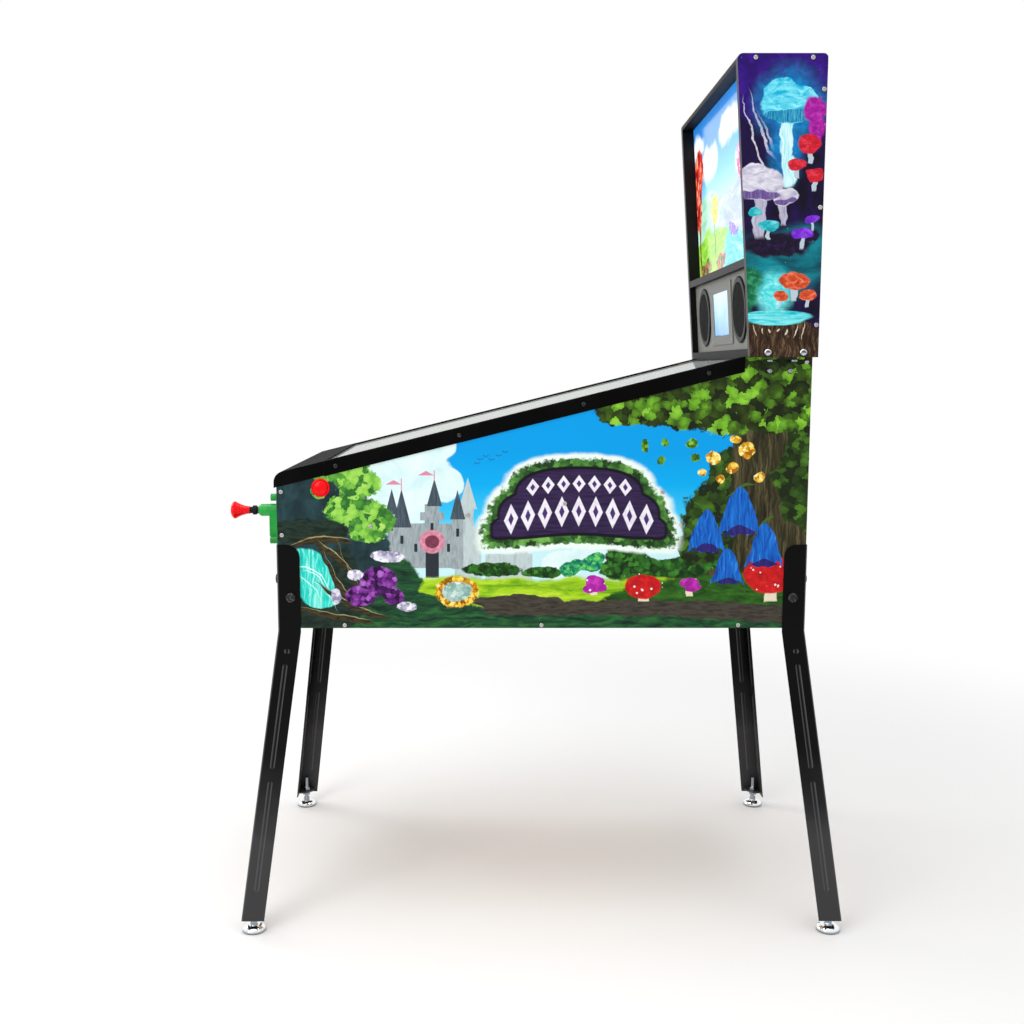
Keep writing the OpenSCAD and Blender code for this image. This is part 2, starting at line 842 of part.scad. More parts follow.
module plunger_spring() {
    n = spring_turns * spring_steps;
    sides = 8;
    pts = [
        for (i = [0:n], j = [0:sides - 1])
            let (a = 360 * i / spring_steps, b = 360 * j / sides, r = spring_r + spring_wire / 2 * cos(b))
                [r * cos(a), r * sin(a),
                    -spring_from - (spring_to - spring_from) * i / n + spring_wire / 2 * sin(b)]
    ];
    walls = [
        for (i = [0:n - 1], j = [0:sides - 1])
            let (p = i * sides + j, q = i * sides + (j + 1) % sides)
                each [[p, q, q + sides], [p, q + sides, p + sides]]
    ];
    first = [for (j = [sides - 1:-1:0]) j];
    last = [for (j = [0:sides - 1]) n * sides + j];
    color("silver") placed() on_plunger() polyhedron(pts, concat(walls, [first, last]));
}

// Washers and spacers outside, the spring's seat washer and clip inside, and the rubber tip
module plunger_fittings() {
    color([0.1, 0.1, 0.1]) placed() on_plunger() {
        ring(13, 6.3, -knob_y - 6.5);
        ring(18.4, 7, -knob_y - 13.6);
        ring(14, 3.4, -knob_y - 17.1);
        ring(20, 2, -spring_end - 2);
        ring(15, 1.4, -spring_end - 3.6);
        translate([0, 0, -tip_end]) difference() {
            cylinder(d = 13, h = 11);
            translate([0, 0, 2.9]) cylinder(d = rod_d + 2 * run_gap, h = 12);
        }
    }
}

module ring(outer, thick, from) {
    translate([0, 0, from]) difference() {
        cylinder(d = outer, h = thick);
        translate([0, 0, -1]) cylinder(d = rod_d + 2 * run_gap, h = thick + 2);
    }
}

// ---- Buttons ----

// Local +Z points out of the panel, whose outer face is Z = 0
module sleeve_hole() {
    translate([0, 0, -ply - 1]) cylinder(d = barrel_d + 0.6, h = ply + 2);
}

// Collar behind the sleeve, plain stem, and a domed crown
module button_body() {
    rim = 3.4;
    crown = 3 + button_travel + 0.5 - rim;
    rotate_extrude() polygon(concat(
        [[0, -sleeve_l - 4.3], [barrel_d / 2, -sleeve_l - 4.3], [barrel_d / 2, -sleeve_l - 0.3]],
        [[button_d / 2, -sleeve_l - 0.3], [button_d / 2, rim]],
        [for (a = [15:15:75]) [button_d / 2 * cos(a), rim + crown * sin(a)]],
        [[0, rim + crown]]
    ));
}

module sleeve() {
    bore = button_d + 2 * run_gap;
    rotate_extrude() polygon([
        [bore / 2, -sleeve_l], [barrel_d / 2, -sleeve_l], [barrel_d / 2, 0], [bezel_d / 2, 0],
        [bezel_d / 2, 1.2], [bezel_d / 2 - 0.6, 2.4], [bezel_d / 2 - 2, 3], [bore / 2 + 1, 3],
            [bore / 2, 2.2]
    ]);
    translate([0, 0, -ply - sleeve_nut_in]) difference() {
        cylinder(d = sleeve_nut_d, h = 6, $fn = 6);
        translate([0, 0, -1]) cylinder(d = barrel_d + 2 * bolt_gap, h = 8);
    }
}

// Small switch on a bracket that the sleeve's nut clamps; its tip is met at full travel
module button_switch() {
    tip = -sleeve_l - 4.3 - button_travel - 0.3;
    difference() {
        union() {
            translate([0, 0, -ply - 1.2]) cylinder(d = sleeve_nut_d - 1, h = 1.2);
            translate([-9, 0, -ply - 1.2]) cube([18, sleeve_nut_d / 2 + 3, 1.2]);
            translate([-9, sleeve_nut_d / 2 + 1.8, tip - 15]) cube([18, 1.2, -ply - tip + 15]);
            translate([-8, -9, tip - 16]) cube([16, sleeve_nut_d / 2 + 11, 14.5]);
            translate([0, 0, tip - 2]) cylinder(d = 3, h = 2);
        }
        translate([0, 0, -ply - 2]) cylinder(d = barrel_d + 2 * bolt_gap, h = 4);
    }
}

module on_flipper_button() {
    on_side(flipper_button_y, flipper_button_z) children();
}

module flipper_button_right() {
    color("red") placed() on_flipper_button() button_body();
}

module flipper_button_left() {
    color("red") placed() mirror([1, 0, 0]) on_flipper_button() button_body();
}

module start_button() {
    color("gold") placed() on_front(start_x, start_z) button_body();
}

module button_sleeves() {
    color("red") placed() {
        both_sides() on_flipper_button() sleeve();
        on_front(start_x, start_z) sleeve();
    }
}

module button_switches() {
    color([0.2, 0.2, 0.2]) placed() {
        both_sides() on_flipper_button() button_switch();
        on_front(start_x, start_z) button_switch();
    }
}

// ---- Service door ----

hinge_stations = [-door_h / 2 + 38, door_h / 2 - 38];

module knuckle(from, tall) {
    translate([hinge_x, hinge_y, door_z + from]) cylinder(d = knuckle_d, h = tall);
}

module pin_holes() {
    for (s = hinge_stations) translate([hinge_x, hinge_y, door_z + s - 30])
        cylinder(d = pin_d + 2 * run_gap, h = 60);
}

module door_frame() {
    open_w = door_w + 2 * door_gap;
    open_h = door_h + 2 * door_gap;
    color([0.12, 0.12, 0.12]) placed() difference() {
        union() {
            translate([-open_w / 2 - flange_w, -3, door_z - open_h / 2 - flange_w])
                cube([open_w + 2 * flange_w, 3, open_h + 2 * flange_w]);
            translate([-open_w / 2 - jamb_t, -1, door_z - open_h / 2 - jamb_t])
                cube([open_w + 2 * jamb_t, ply + 4, open_h + 2 * jamb_t]);
            for (s = hinge_stations, e = [-22, 8]) {
                knuckle(s + e, 14);
                translate([hinge_x - 3, hinge_y, door_z + s + e]) cube([6, 6, 14]);
            }
        }
        translate([-open_w / 2, -5, door_z - open_h / 2]) cube([open_w, ply + 12, open_h]);
        pin_holes();
        at_frame_screws() screw_hole();
    }
}

module service_door() {
    tray = 10;
    color([0.15, 0.15, 0.16]) placed() difference() {
        union() {
            translate([-door_w / 2, -3, door_z - door_h / 2]) cube([door_w, 3, door_h]);
            difference() {
                translate([-door_w / 2 + 6, -1, door_z - door_h / 2 + 6])
                    cube([door_w - 12, tray, door_h - 12]);
                translate([-door_w / 2 + 8, -2, door_z - door_h / 2 + 8])
                    cube([door_w - 16, tray + 2, door_h - 16]);
            }
            for (s = hinge_stations) {
                knuckle(s - 7.5, 15);
                translate([hinge_x, hinge_y, door_z + s - 7.5]) cube([30, -3.4 - hinge_y, 15]);
                translate([-door_w / 2, -4, door_z + s - 7.5]) cube([22, 2, 15]);
            }
        }
        pin_holes();
        translate([lock_x, -10, door_z]) rotate([-90, 0, 0]) cylinder(d = lock_d2 + 2 * run_gap, h = 30);
    }
}

module door_hinge_pins() {
    color("silver") placed() for (s = hinge_stations) translate([hinge_x, hinge_y, door_z + s]) {
        translate([0, 0, -24]) cylinder(d = pin_d, h = 46.3);
        translate([0, 0, 22.2]) cylinder(d = 8, h = 2);
    }
}

// Key cylinder with its cam hanging down, clear of the frame; a quarter turn puts it behind the jamb
module door_lock() {
    cam_y = ply + 4.5;
    color("silver") placed() translate([lock_x, 0, door_z]) {
        rotate([90, 0, 0]) translate([0, 0, 3]) cylinder(d = 25, h = 3.5);
        rotate([90, 0, 0]) translate([0, 0, 6.5]) cylinder(d1 = 25, d2 = 21, h = 1.5);
        rotate([-90, 0, 0]) translate([0, 0, -4]) cylinder(d = lock_d2, h = cam_y + 4);
        translate([-6, cam_y - 0.5, -cam_l]) cube([12, 3, cam_l]);
        rotate([-90, 0, 0]) translate([0, 0, cam_y - 0.5]) cylinder(d = 16, h = 5);
    }
}

// ---- Playfield ----

module at_flipper(side) {
    translate([pf_mid, flipper_v, 0]) mirror([side > 0 ? 1 : 0, 0, 0]) translate([-flipper_x, 0, 0])
        children();
}

// The three bumpers' places
module at_bumpers() {
    for (p = [[-88, 520], [40, 520], [-24, 610]]) translate([pf_mid + p[0], p[1], 0]) children();
}

module bumper_rods(d) {
    for (x = [-16, 16]) translate([x, 0, -38]) cylinder(d = d, h = 40);
}

module playfield_board() {
    wide = in_w - 2;
    color("burlywood") placed() on_playfield() difference() {
        translate([-wide, 0, -pf_t]) cube([2 * wide, pf_l, pf_t]);
        for (side = [-1, 1]) at_flipper(side) translate([0, 0, -pf_t - 1])
            cylinder(d = shaft_d + 2 * run_gap, h = pf_t + 2);
        translate([pf_mid - 40, 112, -pf_t - 1]) cube([80, 36, pf_t + 2]);
        at_bumpers() bumper_rods(6 + 2 * bolt_gap);
    }
}

module playfield_cleats() {
    color("tan") placed() difference() {
        both_sides() on_playfield() translate([in_w - ply, 25, -pf_t - cleat_h])
            cube([ply, pf_l - 50, cleat_h]);
        both_sides() at_panel_screws() screw_hole();
    }
}

// Bat, shaft through the board, and crank below it; drawn for the left
module flipper() {
    drop = asin((flipper_r - flipper_tip_r) / flipper_l);
    rotate([0, 0, -flipper_rest]) {
        translate([0, 0, 5]) linear_extrude(20) {
            circle(flipper_r);
            translate([flipper_l, 0]) circle(flipper_tip_r);
            polygon([
                flipper_r * [sin(drop), cos(drop)], flipper_r * [sin(drop), -cos(drop)],
                [flipper_l, 0] + flipper_tip_r * [sin(drop), -cos(drop)],
                [flipper_l, 0] + flipper_tip_r * [sin(drop), cos(drop)]
            ]);
        }
        translate([0, 0, -52]) cylinder(d = shaft_d, h = 60);
        translate([0, 0, -52]) cylinder(d = 20, h = 12);
        translate([-24, -4, -50]) cube([24, 8, 8]);
    }
}

module flipper_right() {
    color("ivory") placed() on_playfield() at_flipper(1) flipper();
}

module flipper_left() {
    color("ivory") placed() on_playfield() at_flipper(-1) flipper();
}

// Solenoid on its base plate under the board, beside each flipper's crank
module flipper_coils() {
    color("goldenrod") placed() on_playfield() for (side = [-1, 1]) at_flipper(side) {
        difference() {
            translate([-30, -24, -pf_t - 3]) cube([60, 128, 3]);
            translate([0, 0, -pf_t - 4]) cylinder(d = shaft_d + 2, h = 5);
        }
        translate([-24, 34, -62]) cube([48, 3, 50]);
        translate([-24, 96, -62]) cube([48, 3, 50]);
        translate([0, 36, -38]) rotate([-90, 0, 0]) cylinder(d = 36, h = 61);
    }
}

module pop_bumpers() {
    color("tomato") placed() on_playfield() at_bumpers() {
        cylinder(d = 64, h = 6);
        cylinder(d = 44, h = 40);
        translate([0, 0, 34]) cylinder(d = 74, h = 5);
        translate([0, 0, 39]) cylinder(d1 = 74, d2 = 58, h = 7);
        bumper_rods(6);
    }
}

// Bent sheet cover over the ball trough, open to the rear, with the shooter lane free on its right
module apron() {
    left = -in_w + sleeve_nut_in + 1.6;
    right = plunger_x - 24;
    color([0.15, 0.18, 0.3]) placed() on_playfield() {
        translate([0, 0, apron_n]) linear_extrude(1.5) polygon([
            [left, 2], [right, 2], [right, 176], [right - 10, 176],
            [pf_mid + 62, 124], [pf_mid - 62, 124], [left + 10, 176], [left, 176]
        ]);
        translate([left, 2, 0]) cube([right - left, 1.5, apron_n + 1]);
        translate([left, 2, 0]) cube([1.5, 174, apron_n + 1]);
        translate([right - 1.5, 2, 0]) cube([1.5, 174, apron_n + 1]);
    }
}

// Three balls in the trough and one in the shooter lane
module steel_balls() {
    lift = ball_d / 2 + 0.05;
    color("gainsboro") placed() on_playfield() {
        for (i = [0:2]) translate([pf_mid + 30 + i * (ball_d + 0.4), 60, lift]) sphere(d = ball_d);
        translate([plunger_x, ball_d / 2 + tip_end - pf_y + 2, lift]) sphere(d = ball_d);
    }
}

// ---- Electrics ----

inlet_w = 27;
inlet_h = 58;
inlet_x = -150;
inlet_z = cab_z + 70;
rocker_r = 6.8;

// Centre of the inlet on the rear panel's outer face
module at_inlet() {
    translate([inlet_x, cab_l, inlet_z]) children();
}

// Circuit board on four standoffs on the backbox's back
module control_board() {
    face = head_rear - 12;
    color("darkgreen") placed() {
        translate([-150, face - 11.6, top_rear + 120]) cube([300, 1.6, 200]);
        for (x = [-140, 140], z = [130, 310])
            translate([x, face - 10.2, top_rear + z]) rotate([-90, 0, 0]) cylinder(d = 7, h = 10.2);
        translate([-60, face - 17, top_rear + 190]) cube([46, 6, 46]);
        translate([30, face - 17, top_rear + 170]) cube([34, 6, 80]);
        translate([-120, face - 27, top_rear + 270]) cube([40, 16, 40]);
        for (i = [0:4]) translate([-130 + i * 50, face - 21, top_rear + 124]) cube([36, 10, 12]);
    }
}

module power_supply() {
    color("silver") placed() {
        translate([-200, 800, cab_z + floor_t]) cube([160, 130, 62]);
        translate([-214, 812, cab_z + floor_t]) cube([188, 106, 2]);
    }
}

module power_inlet() {
    cavity = 14.4;
    color([0.1, 0.1, 0.1]) placed() at_inlet() difference() {
        union() {
            translate([-inlet_w / 2, -27, -inlet_h / 2]) cube([inlet_w, 28, inlet_h]);
            translate([-inlet_w / 2 - 5, 0, -inlet_h / 2 - 5]) cube([inlet_w + 10, 2.5, inlet_h + 10]);
        }
        difference() {
            translate([-11, -17, -24]) cube([22, 22, 17]);
            for (p = [[-6, -14], [6, -14], [0, -18]]) translate([p[0] - 1, -18, p[1] - 2.5])
                cube([2, 14, 5]);
        }
        translate([-10, -10, 13 - cavity / 2]) cube([20, 16, cavity]);
        translate([-12.5, -1, 13]) rotate([0, 90, 0]) cylinder(d = 3 + 2 * run_gap, h = 25);
    }
}

// Rocker on its own axle; both faces are cut back from a round body
module power_switch() {
    color("red") placed() at_inlet() translate([0, -1, 13]) {
        difference() {
            translate([-9.6, 0, 0]) rotate([0, 90, 0]) cylinder(r = rocker_r, h = 19.2);
            rotate([-14, 0, 0]) translate([-15, 4.6, 0]) cube([30, 8, 12]);
            translate([-15, 4.6, -12]) cube([30, 8, 12]);
        }
        translate([-12, 0, 0]) rotate([0, 90, 0]) cylinder(d = 3, h = 24);
    }
}

// ---- Backbox ----

module head_outline() {
    foot = [[head_y, top_rear], [head_rear, top_rear]];
    rear_c = [head_rear - 8, head_top - 8];
    front_c = head_pt(head_round, head_h / cos(head_a) - head_round * (1 + sin(head_a)));
    polygon(concat(
        foot,
        arc(rear_c, 8, 0, 90, 4),
        arc([front_c[0], head_top - head_round], head_round, 90, 180 + head_a, 6)
    ));
}

// A layer between two depths and two heights of the leaning front, as an outline in Y and Z
module head_layer(d0, d1, up0, up1) {
    polygon([head_pt(d0, up0), head_pt(d1, up0), head_pt(d1, up1), head_pt(d0, up1)]);
}

module backbox_sides() {
    lite_top = head_h / cos(head_a);
    color("indigo") placed() both_sides() difference() {
        side_view(head_in, head_ply) head_outline();
        side_view(head_in - 1, groove_d + 1) {
            head_layer(lite_d - slot_gap, lite_d + lite_t + slot_gap, bar_foot + bar_h - 8,
                lite_top - head_ply);
            head_layer(lamp_d - slot_gap, lamp_d + lamp_t + slot_gap, bar_foot, lite_top - head_ply);
        }
        at_head_bolts() bolt_hole();
        at_head_screws() screw_hole();
    }
}

// The board outlines keep the side panels' rounded edges
module backbox_top() {
    color([0.08, 0.08, 0.1]) placed() difference() {
        side_view(-head_in, 2 * head_in) intersection() {
            head_outline();
            translate([0, head_top - head_ply]) square([2 * cab_l, head_ply + 1]);
        }
        both_sides() at_head_screws() screw_hole();
    }
}

module backbox_floor() {
    color([0.08, 0.08, 0.1]) placed() difference() {
        side_view(-head_in, 2 * head_in) intersection() {
            head_outline();
            translate([0, top_rear]) square([2 * cab_l, head_ply]);
        }
        cable_hole(top_rear - 1, head_ply + 2);
        both_sides() at_bracket_flange_bolts() bolt_hole();
        both_sides() at_head_bolts() bolt_hole();
    }
}

module backbox_back() {
    back_t = 12;
    color([0.08, 0.08, 0.1]) placed() difference() {
        translate([-head_in, head_rear - back_t, top_rear + head_ply])
            cube([2 * head_in, back_t, head_h - 2 * head_ply]);
        both_sides() at_head_screws() screw_hole();
        for (i = [-5:5]) translate([i * 30, head_rear - ply - 1, head_top - 110]) vent_slot(60, 8);
    }
}

module translite() {
    wide = head_in + groove_d - 0.5;
    up1 = (head_h - head_ply - 1) / cos(head_a) - (lite_d + lite_t) * tan(head_a);
    color([0.6, 0.8, 0.95]) placed() side_view(-wide, 2 * wide)
        head_layer(lite_d, lite_d + lite_t, bar_foot + bar_h - 5.7, up1);
}

// Bar across the backbox that hides the joint and holds the picture's lower edge
module translite_bar() {
    wide = head_in - seat_gap;
    color([0.1, 0.1, 0.1]) placed() side_view(-wide, 2 * wide) difference() {
        head_layer(0.5, lite_d + lite_t + 6, bar_foot, bar_foot + bar_h);
        head_layer(lite_d - slot_gap, lite_d + lite_t + slot_gap, bar_foot + bar_h - 6,
            bar_foot + bar_h + 1);
    }
}

// Board with rows of lamp strips behind the picture
module lamp_panel() {
    wide = head_in + groove_d - 0.5;
    up0 = bar_foot + 0.5;
    up1 = (head_h - head_ply - 1) / cos(head_a) - (lamp_d + lamp_t) * tan(head_a);
    color("white") placed() {
        side_view(-wide, 2 * wide) head_layer(lamp_d, lamp_d + lamp_t, up0, up1);
        for (i = [0:5]) side_view(-head_in + 30, 2 * head_in - 60)
            head_layer(lamp_d - 2, lamp_d + 1, up0 + 25 + i * 54, up0 + 35 + i * 54);
    }
}

module speaker_panel() {
    wide = head_in - seat_gap;
    color("gray") placed() difference() {
        side_view(-wide, 2 * wide) intersection() {
            head_layer(panel_d, panel_d + panel_t, 0, bar_foot - 0.1);
            translate([0, top_rear + head_ply]) square([2 * cab_l, head_h]);
        }
        for (x = [-1, 1]) on_head_face(x * speaker_x, panel_d + panel_t + 1, speaker_up)
            cylinder(d = speaker_d - 19, h = panel_t + 2);
        on_head_face(0, panel_d + panel_t + 1, speaker_up)
            translate([-screen_w / 2 - 4, -screen_h / 2 - 4, 0])
                cube([screen_w + 8, screen_h + 8, panel_t + 2]);
        at_plate_screws() screw_hole();
    }
}

// Ring and grille on the panel's face, cone behind it, and the magnet
module speakers() {
    throat = (speaker_d - 21) / 2;
    color([0.15, 0.15, 0.15]) placed() for (x = [-1, 1]) on_head_face(x * speaker_x, panel_d, speaker_up)
        rotate_extrude() polygon([
            [0, -54], [34, -54], [34, -36], [24, -36], [throat, -14], [throat, 0], [speaker_d / 2, 0],
            [speaker_d / 2, 2.5], [speaker_d / 2 - 2, 4], [throat, 4], [throat - 2, 2], [0, 2]
        ]);
}

// Plate with its window, and the screen's body behind it
module display_module() {
    color([0.3, 0.3, 0.3]) placed() on_head_face(0, panel_d, speaker_up) {
        difference() {
            translate([-plate_w / 2, -plate_h / 2, 0]) cube([plate_w, plate_h, 2.5]);
            translate([-screen_w / 2, -screen_h / 2, -1]) cube([screen_w, screen_h, 5]);
            for (x = [-1, 1], y = [-1, 1]) translate([x * (plate_w / 2 - 12), y * (plate_h / 2 - 9), -1])
                cylinder(d = screw_d + 2 * bolt_gap, h = 5);
        }
        translate([-screen_w / 2 - 3.5, -screen_h / 2 - 3.5, -20]) cube([screen_w + 7, screen_h + 7, 20]);
    }
}

// Angle on each side: down the cabinet's side and out under the backbox
module backbox_brackets() {
    wide = bracket_y1 - bracket_y0;
    color([0.12, 0.12, 0.12]) placed() both_sides() difference() {
        union() {
            translate([half_w, bracket_y0, top_rear - 44]) cube([bracket_t, wide, 44]);
            translate([half_w, bracket_y0, top_rear - bracket_t])
                cube([head_over - 4, wide, bracket_t]);
        }
        at_bracket_side_bolts() bolt_hole();
        at_bracket_flange_bolts() bolt_hole();
    }
}

side_panel_right();
side_panel_left();
front_panel();
rear_panel();
cabinet_floor();
neck_board();
leg_plates();
side_rails();
lockbar();
lockbar_receiver();
glass_channels();
playfield_glass();
leg_front_right();
leg_front_left();
leg_rear_right();
leg_rear_left();
leveller_front_right();
leveller_front_left();
leveller_rear_right();
leveller_rear_left();
leveller_nuts();
cabinet_bolts();
panel_screws();
plunger_housing();
plunger_rod();
plunger_knob();
plunger_spring();
plunger_fittings();
flipper_button_right();
flipper_button_left();
start_button();
button_sleeves();
button_switches();
service_door();
door_frame();
door_hinge_pins();
door_lock();
playfield_board();
playfield_cleats();
flipper_right();
flipper_left();
flipper_coils();
pop_bumpers();
apron();
steel_balls();
control_board();
power_supply();
power_inlet();
power_switch();
backbox_sides();
backbox_top();
backbox_floor();
backbox_back();
translite();
translite_bar();
lamp_panel();
speaker_panel();
speakers();
display_module();
backbox_brackets();
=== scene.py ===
import bpy
import math
from mathutils import Matrix, Vector


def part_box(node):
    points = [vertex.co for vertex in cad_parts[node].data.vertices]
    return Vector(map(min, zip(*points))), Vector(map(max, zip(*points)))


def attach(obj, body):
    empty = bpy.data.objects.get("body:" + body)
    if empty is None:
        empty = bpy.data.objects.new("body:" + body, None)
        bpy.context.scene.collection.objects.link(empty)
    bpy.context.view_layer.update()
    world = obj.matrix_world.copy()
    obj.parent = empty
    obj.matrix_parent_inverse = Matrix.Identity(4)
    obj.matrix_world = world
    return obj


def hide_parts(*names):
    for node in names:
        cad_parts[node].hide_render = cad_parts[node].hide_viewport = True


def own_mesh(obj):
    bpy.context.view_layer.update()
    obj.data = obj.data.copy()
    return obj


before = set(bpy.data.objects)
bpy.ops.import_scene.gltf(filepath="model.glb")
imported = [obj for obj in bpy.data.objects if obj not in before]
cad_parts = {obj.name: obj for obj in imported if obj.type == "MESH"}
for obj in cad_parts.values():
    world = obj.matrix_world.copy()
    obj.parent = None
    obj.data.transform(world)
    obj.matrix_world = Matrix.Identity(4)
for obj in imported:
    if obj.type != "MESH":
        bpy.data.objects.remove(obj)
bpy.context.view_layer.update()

# ---- Room, lamps and camera ----
# A plain white studio: the machine stands on a seamless floor under a wide overhead softbox,
# with a second softbox on the side that faces the camera.
scene = bpy.context.scene
scene.view_settings.view_transform = "Standard"


def linear(code):
    """A colour written as an sRGB hex value, turned into linear RGBA."""
    parts = [int(code[i:i + 2], 16) / 255 for i in (0, 2, 4)]
    return tuple(c / 12.92 if c <= 0.04045 else ((c + 0.055) / 1.055) ** 2.4 for c in parts) + (1.0,)


def add(kind, links=None, **settings):
    """Adds a node to the tree in hand, with its settings; an input takes a value, a node or a node's socket."""
    node = tree.nodes.new("ShaderNode" + kind)
    for name, value in settings.items():
        setattr(node, name, value)
    for name, value in (links or {}).items():
        if isinstance(value, bpy.types.Node):
            value = [output for output in value.outputs if output.enabled][0]
        if isinstance(value, bpy.types.NodeSocket):
            tree.links.new(value, node.inputs[name])
        else:
            node.inputs[name].default_value = value
    return node


scene.world = bpy.data.worlds.new("studio")
scene.world.use_nodes = True
tree = scene.world.node_tree
tree.nodes.clear()
rays = add("LightPath")
seen = add("Math", {0: rays.outputs["Is Camera Ray"], 1: rays.outputs["Is Glossy Ray"]}, operation="MAXIMUM")
seen = add("Math", {0: seen, 1: rays.outputs["Is Transmission Ray"]}, operation="MAXIMUM")
strength = add("MapRange", {"Value": seen, "To Min": 0.62, "To Max": 1.0})
add("OutputWorld", {"Surface": add("Background", {"Color": (1, 1, 1, 1), "Strength": strength})})

bpy.ops.object.select_all(action="DESELECT")
bpy.ops.mesh.primitive_plane_add(size=24, location=(0, 0, 0))
floor = bpy.context.object
floor.name = "studio_floor"
paper = bpy.data.materials.new("white_paper_floor")
paper.use_nodes = True
tree = paper.node_tree
tree.nodes.clear()
reach = add("VectorMath", {0: add("TexCoord").outputs["Object"]}, operation="LENGTH")
fade = add("MapRange", {"Value": reach, "From Min": 1.2, "From Max": 2.6}, interpolation_type="SMOOTHSTEP")
fade = add("Math", {0: fade, 1: add("LightPath").outputs["Is Camera Ray"]}, operation="MULTIPLY")
matt = add("BsdfDiffuse", {"Color": (0.97, 0.97, 0.97, 1)})
white = add("Emission", {"Color": (1, 1, 1, 1), "Strength": 1.0})
add("OutputMaterial", {"Surface": add("MixShader", {0: fade, 1: matt, 2: white})})
floor.data.materials.append(paper)

for name, place, aim, size, power in (
    ("overhead_softbox", (0.3, -0.2, 3.6), (0, 0, 0.6), 3.0, 62),
    ("side_softbox", (3.4, -2.4, 2.4), (0, 0, 0.9), 2.4, 52),
    ("front_softbox", (-1.8, -3.6, 2.2), (0, 0, 0.9), 2.0, 26),
):
    lamp = bpy.data.lights.new(name, "AREA")
    lamp.shape = "DISK"
    lamp.size = size
    lamp.energy = power
    holder = bpy.data.objects.new(name, lamp)
    holder.location = place
    holder.rotation_euler = (Vector(aim) - Vector(place)).to_track_quat("-Z", "Y").to_euler()
    scene.collection.objects.link(holder)

view = bpy.data.cameras.new("camera")
view.lens = 40.645
view.sensor_width = 36
view.shift_x = 0.0201
camera = bpy.data.objects.new("camera", view)
camera.location = (2.5134, -0.0896, 1.1076)
camera.rotation_euler = (math.radians(82.93), 0, math.radians(89.93))
scene.collection.objects.link(camera)
scene.camera = camera

# ---- Cabinet sides ----
# Birch plywood panels. The outer face carries a printed vinyl decal under a clear film, which gives
# a soft even gloss; the edges and the nose are painted black, and the inside is bare wood.
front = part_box("front_panel")[0].y
half_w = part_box("side_panel_right")[1].x
film_deep = 0.0004
ply_deep = 0.018


def finish(name, **sockets):
    """Starts a new material with plain values on its shader's sockets, and takes its tree in hand."""
    global tree, shader
    material = bpy.data.materials.new(name)
    material.use_nodes = True
    tree = material.node_tree
    shader = tree.nodes["Principled BSDF"]
    for socket, value in sockets.items():
        shader.inputs[socket.replace("_", " ")].default_value = value
    return material


def feed(socket, node):
    """Links a node to a socket of the shader in hand."""
    tree.links.new([output for output in node.outputs if output.enabled][0], shader.inputs[socket])


def dress(material, *names):
    """Gives CAD nodes their material."""
    for name in names:
        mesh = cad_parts[name].data
        if not mesh.materials:
            mesh.materials.append(material)
        for i in range(len(mesh.materials)):
            mesh.materials[i] = material


def drift(place, scale, detail, size):
    """The place pushed about by noise, by up to half that size each way."""
    noise = add("TexNoise", {"Vector": place, "Scale": scale, "Detail": detail})
    parts = add("SeparateColor", {0: noise.outputs["Color"]})
    push = add("CombineXYZ", {0: parts.outputs["Red"], 1: parts.outputs["Green"], 2: parts.outputs["Blue"]})
    push = add("VectorMath", {0: push, 1: (size, size, 0), 2: (-size / 2, -size / 2, 0)}, operation="MULTIPLY_ADD")
    return add("VectorMath", {0: place, 1: push}, operation="ADD")


def canvas(wander=None, across=("X", 0, 1000.0), up=("Z", 0, 1000.0)):
    """Takes a picture's places in hand: the flat one, and a loose one that noise pushes about. Across
    and up each have an axis, where it starts, and the millimetres for a metre along it."""
    global axes, across_mm, up_mm, flat, loose
    axes = add("SeparateXYZ", {0: add("TexCoord").outputs["Object"]})
    across_mm, up_mm = [add("Math", {0: axes.outputs[axis], 1: scale, 2: -start * scale}, operation="MULTIPLY_ADD")
                        for axis, start, scale in (across, up)]
    flat = add("CombineXYZ", {0: across_mm, 1: up_mm})
    loose = drift(flat, *wander) if wander else flat


def nearest(fields):
    """The least of several distances."""
    field = fields[0]
    for other in fields[1:]:
        field = add("Math", {0: field, 1: other}, operation="MINIMUM")
    return field


def rounds(place, shapes, blend=0.0):
    """Distance to a crowd of ovals (middle and radii in y and z), 1 on their outlines."""
    fields = []
    for y, z, across, tall in shapes:
        local = add("VectorMath", {0: place, 1: (1 / across, 1 / tall, 0), 2: (-y / across, -z / tall, 0)},
                    operation="MULTIPLY_ADD")
        fields.append(add("VectorMath", {0: local}, operation="LENGTH"))
    if not blend:
        return nearest(fields)
    field = fields[0]
    for other in fields[1:]:
        field = add("Math", {0: field, 1: other, 2: blend}, operation="SMOOTH_MIN")
    return field


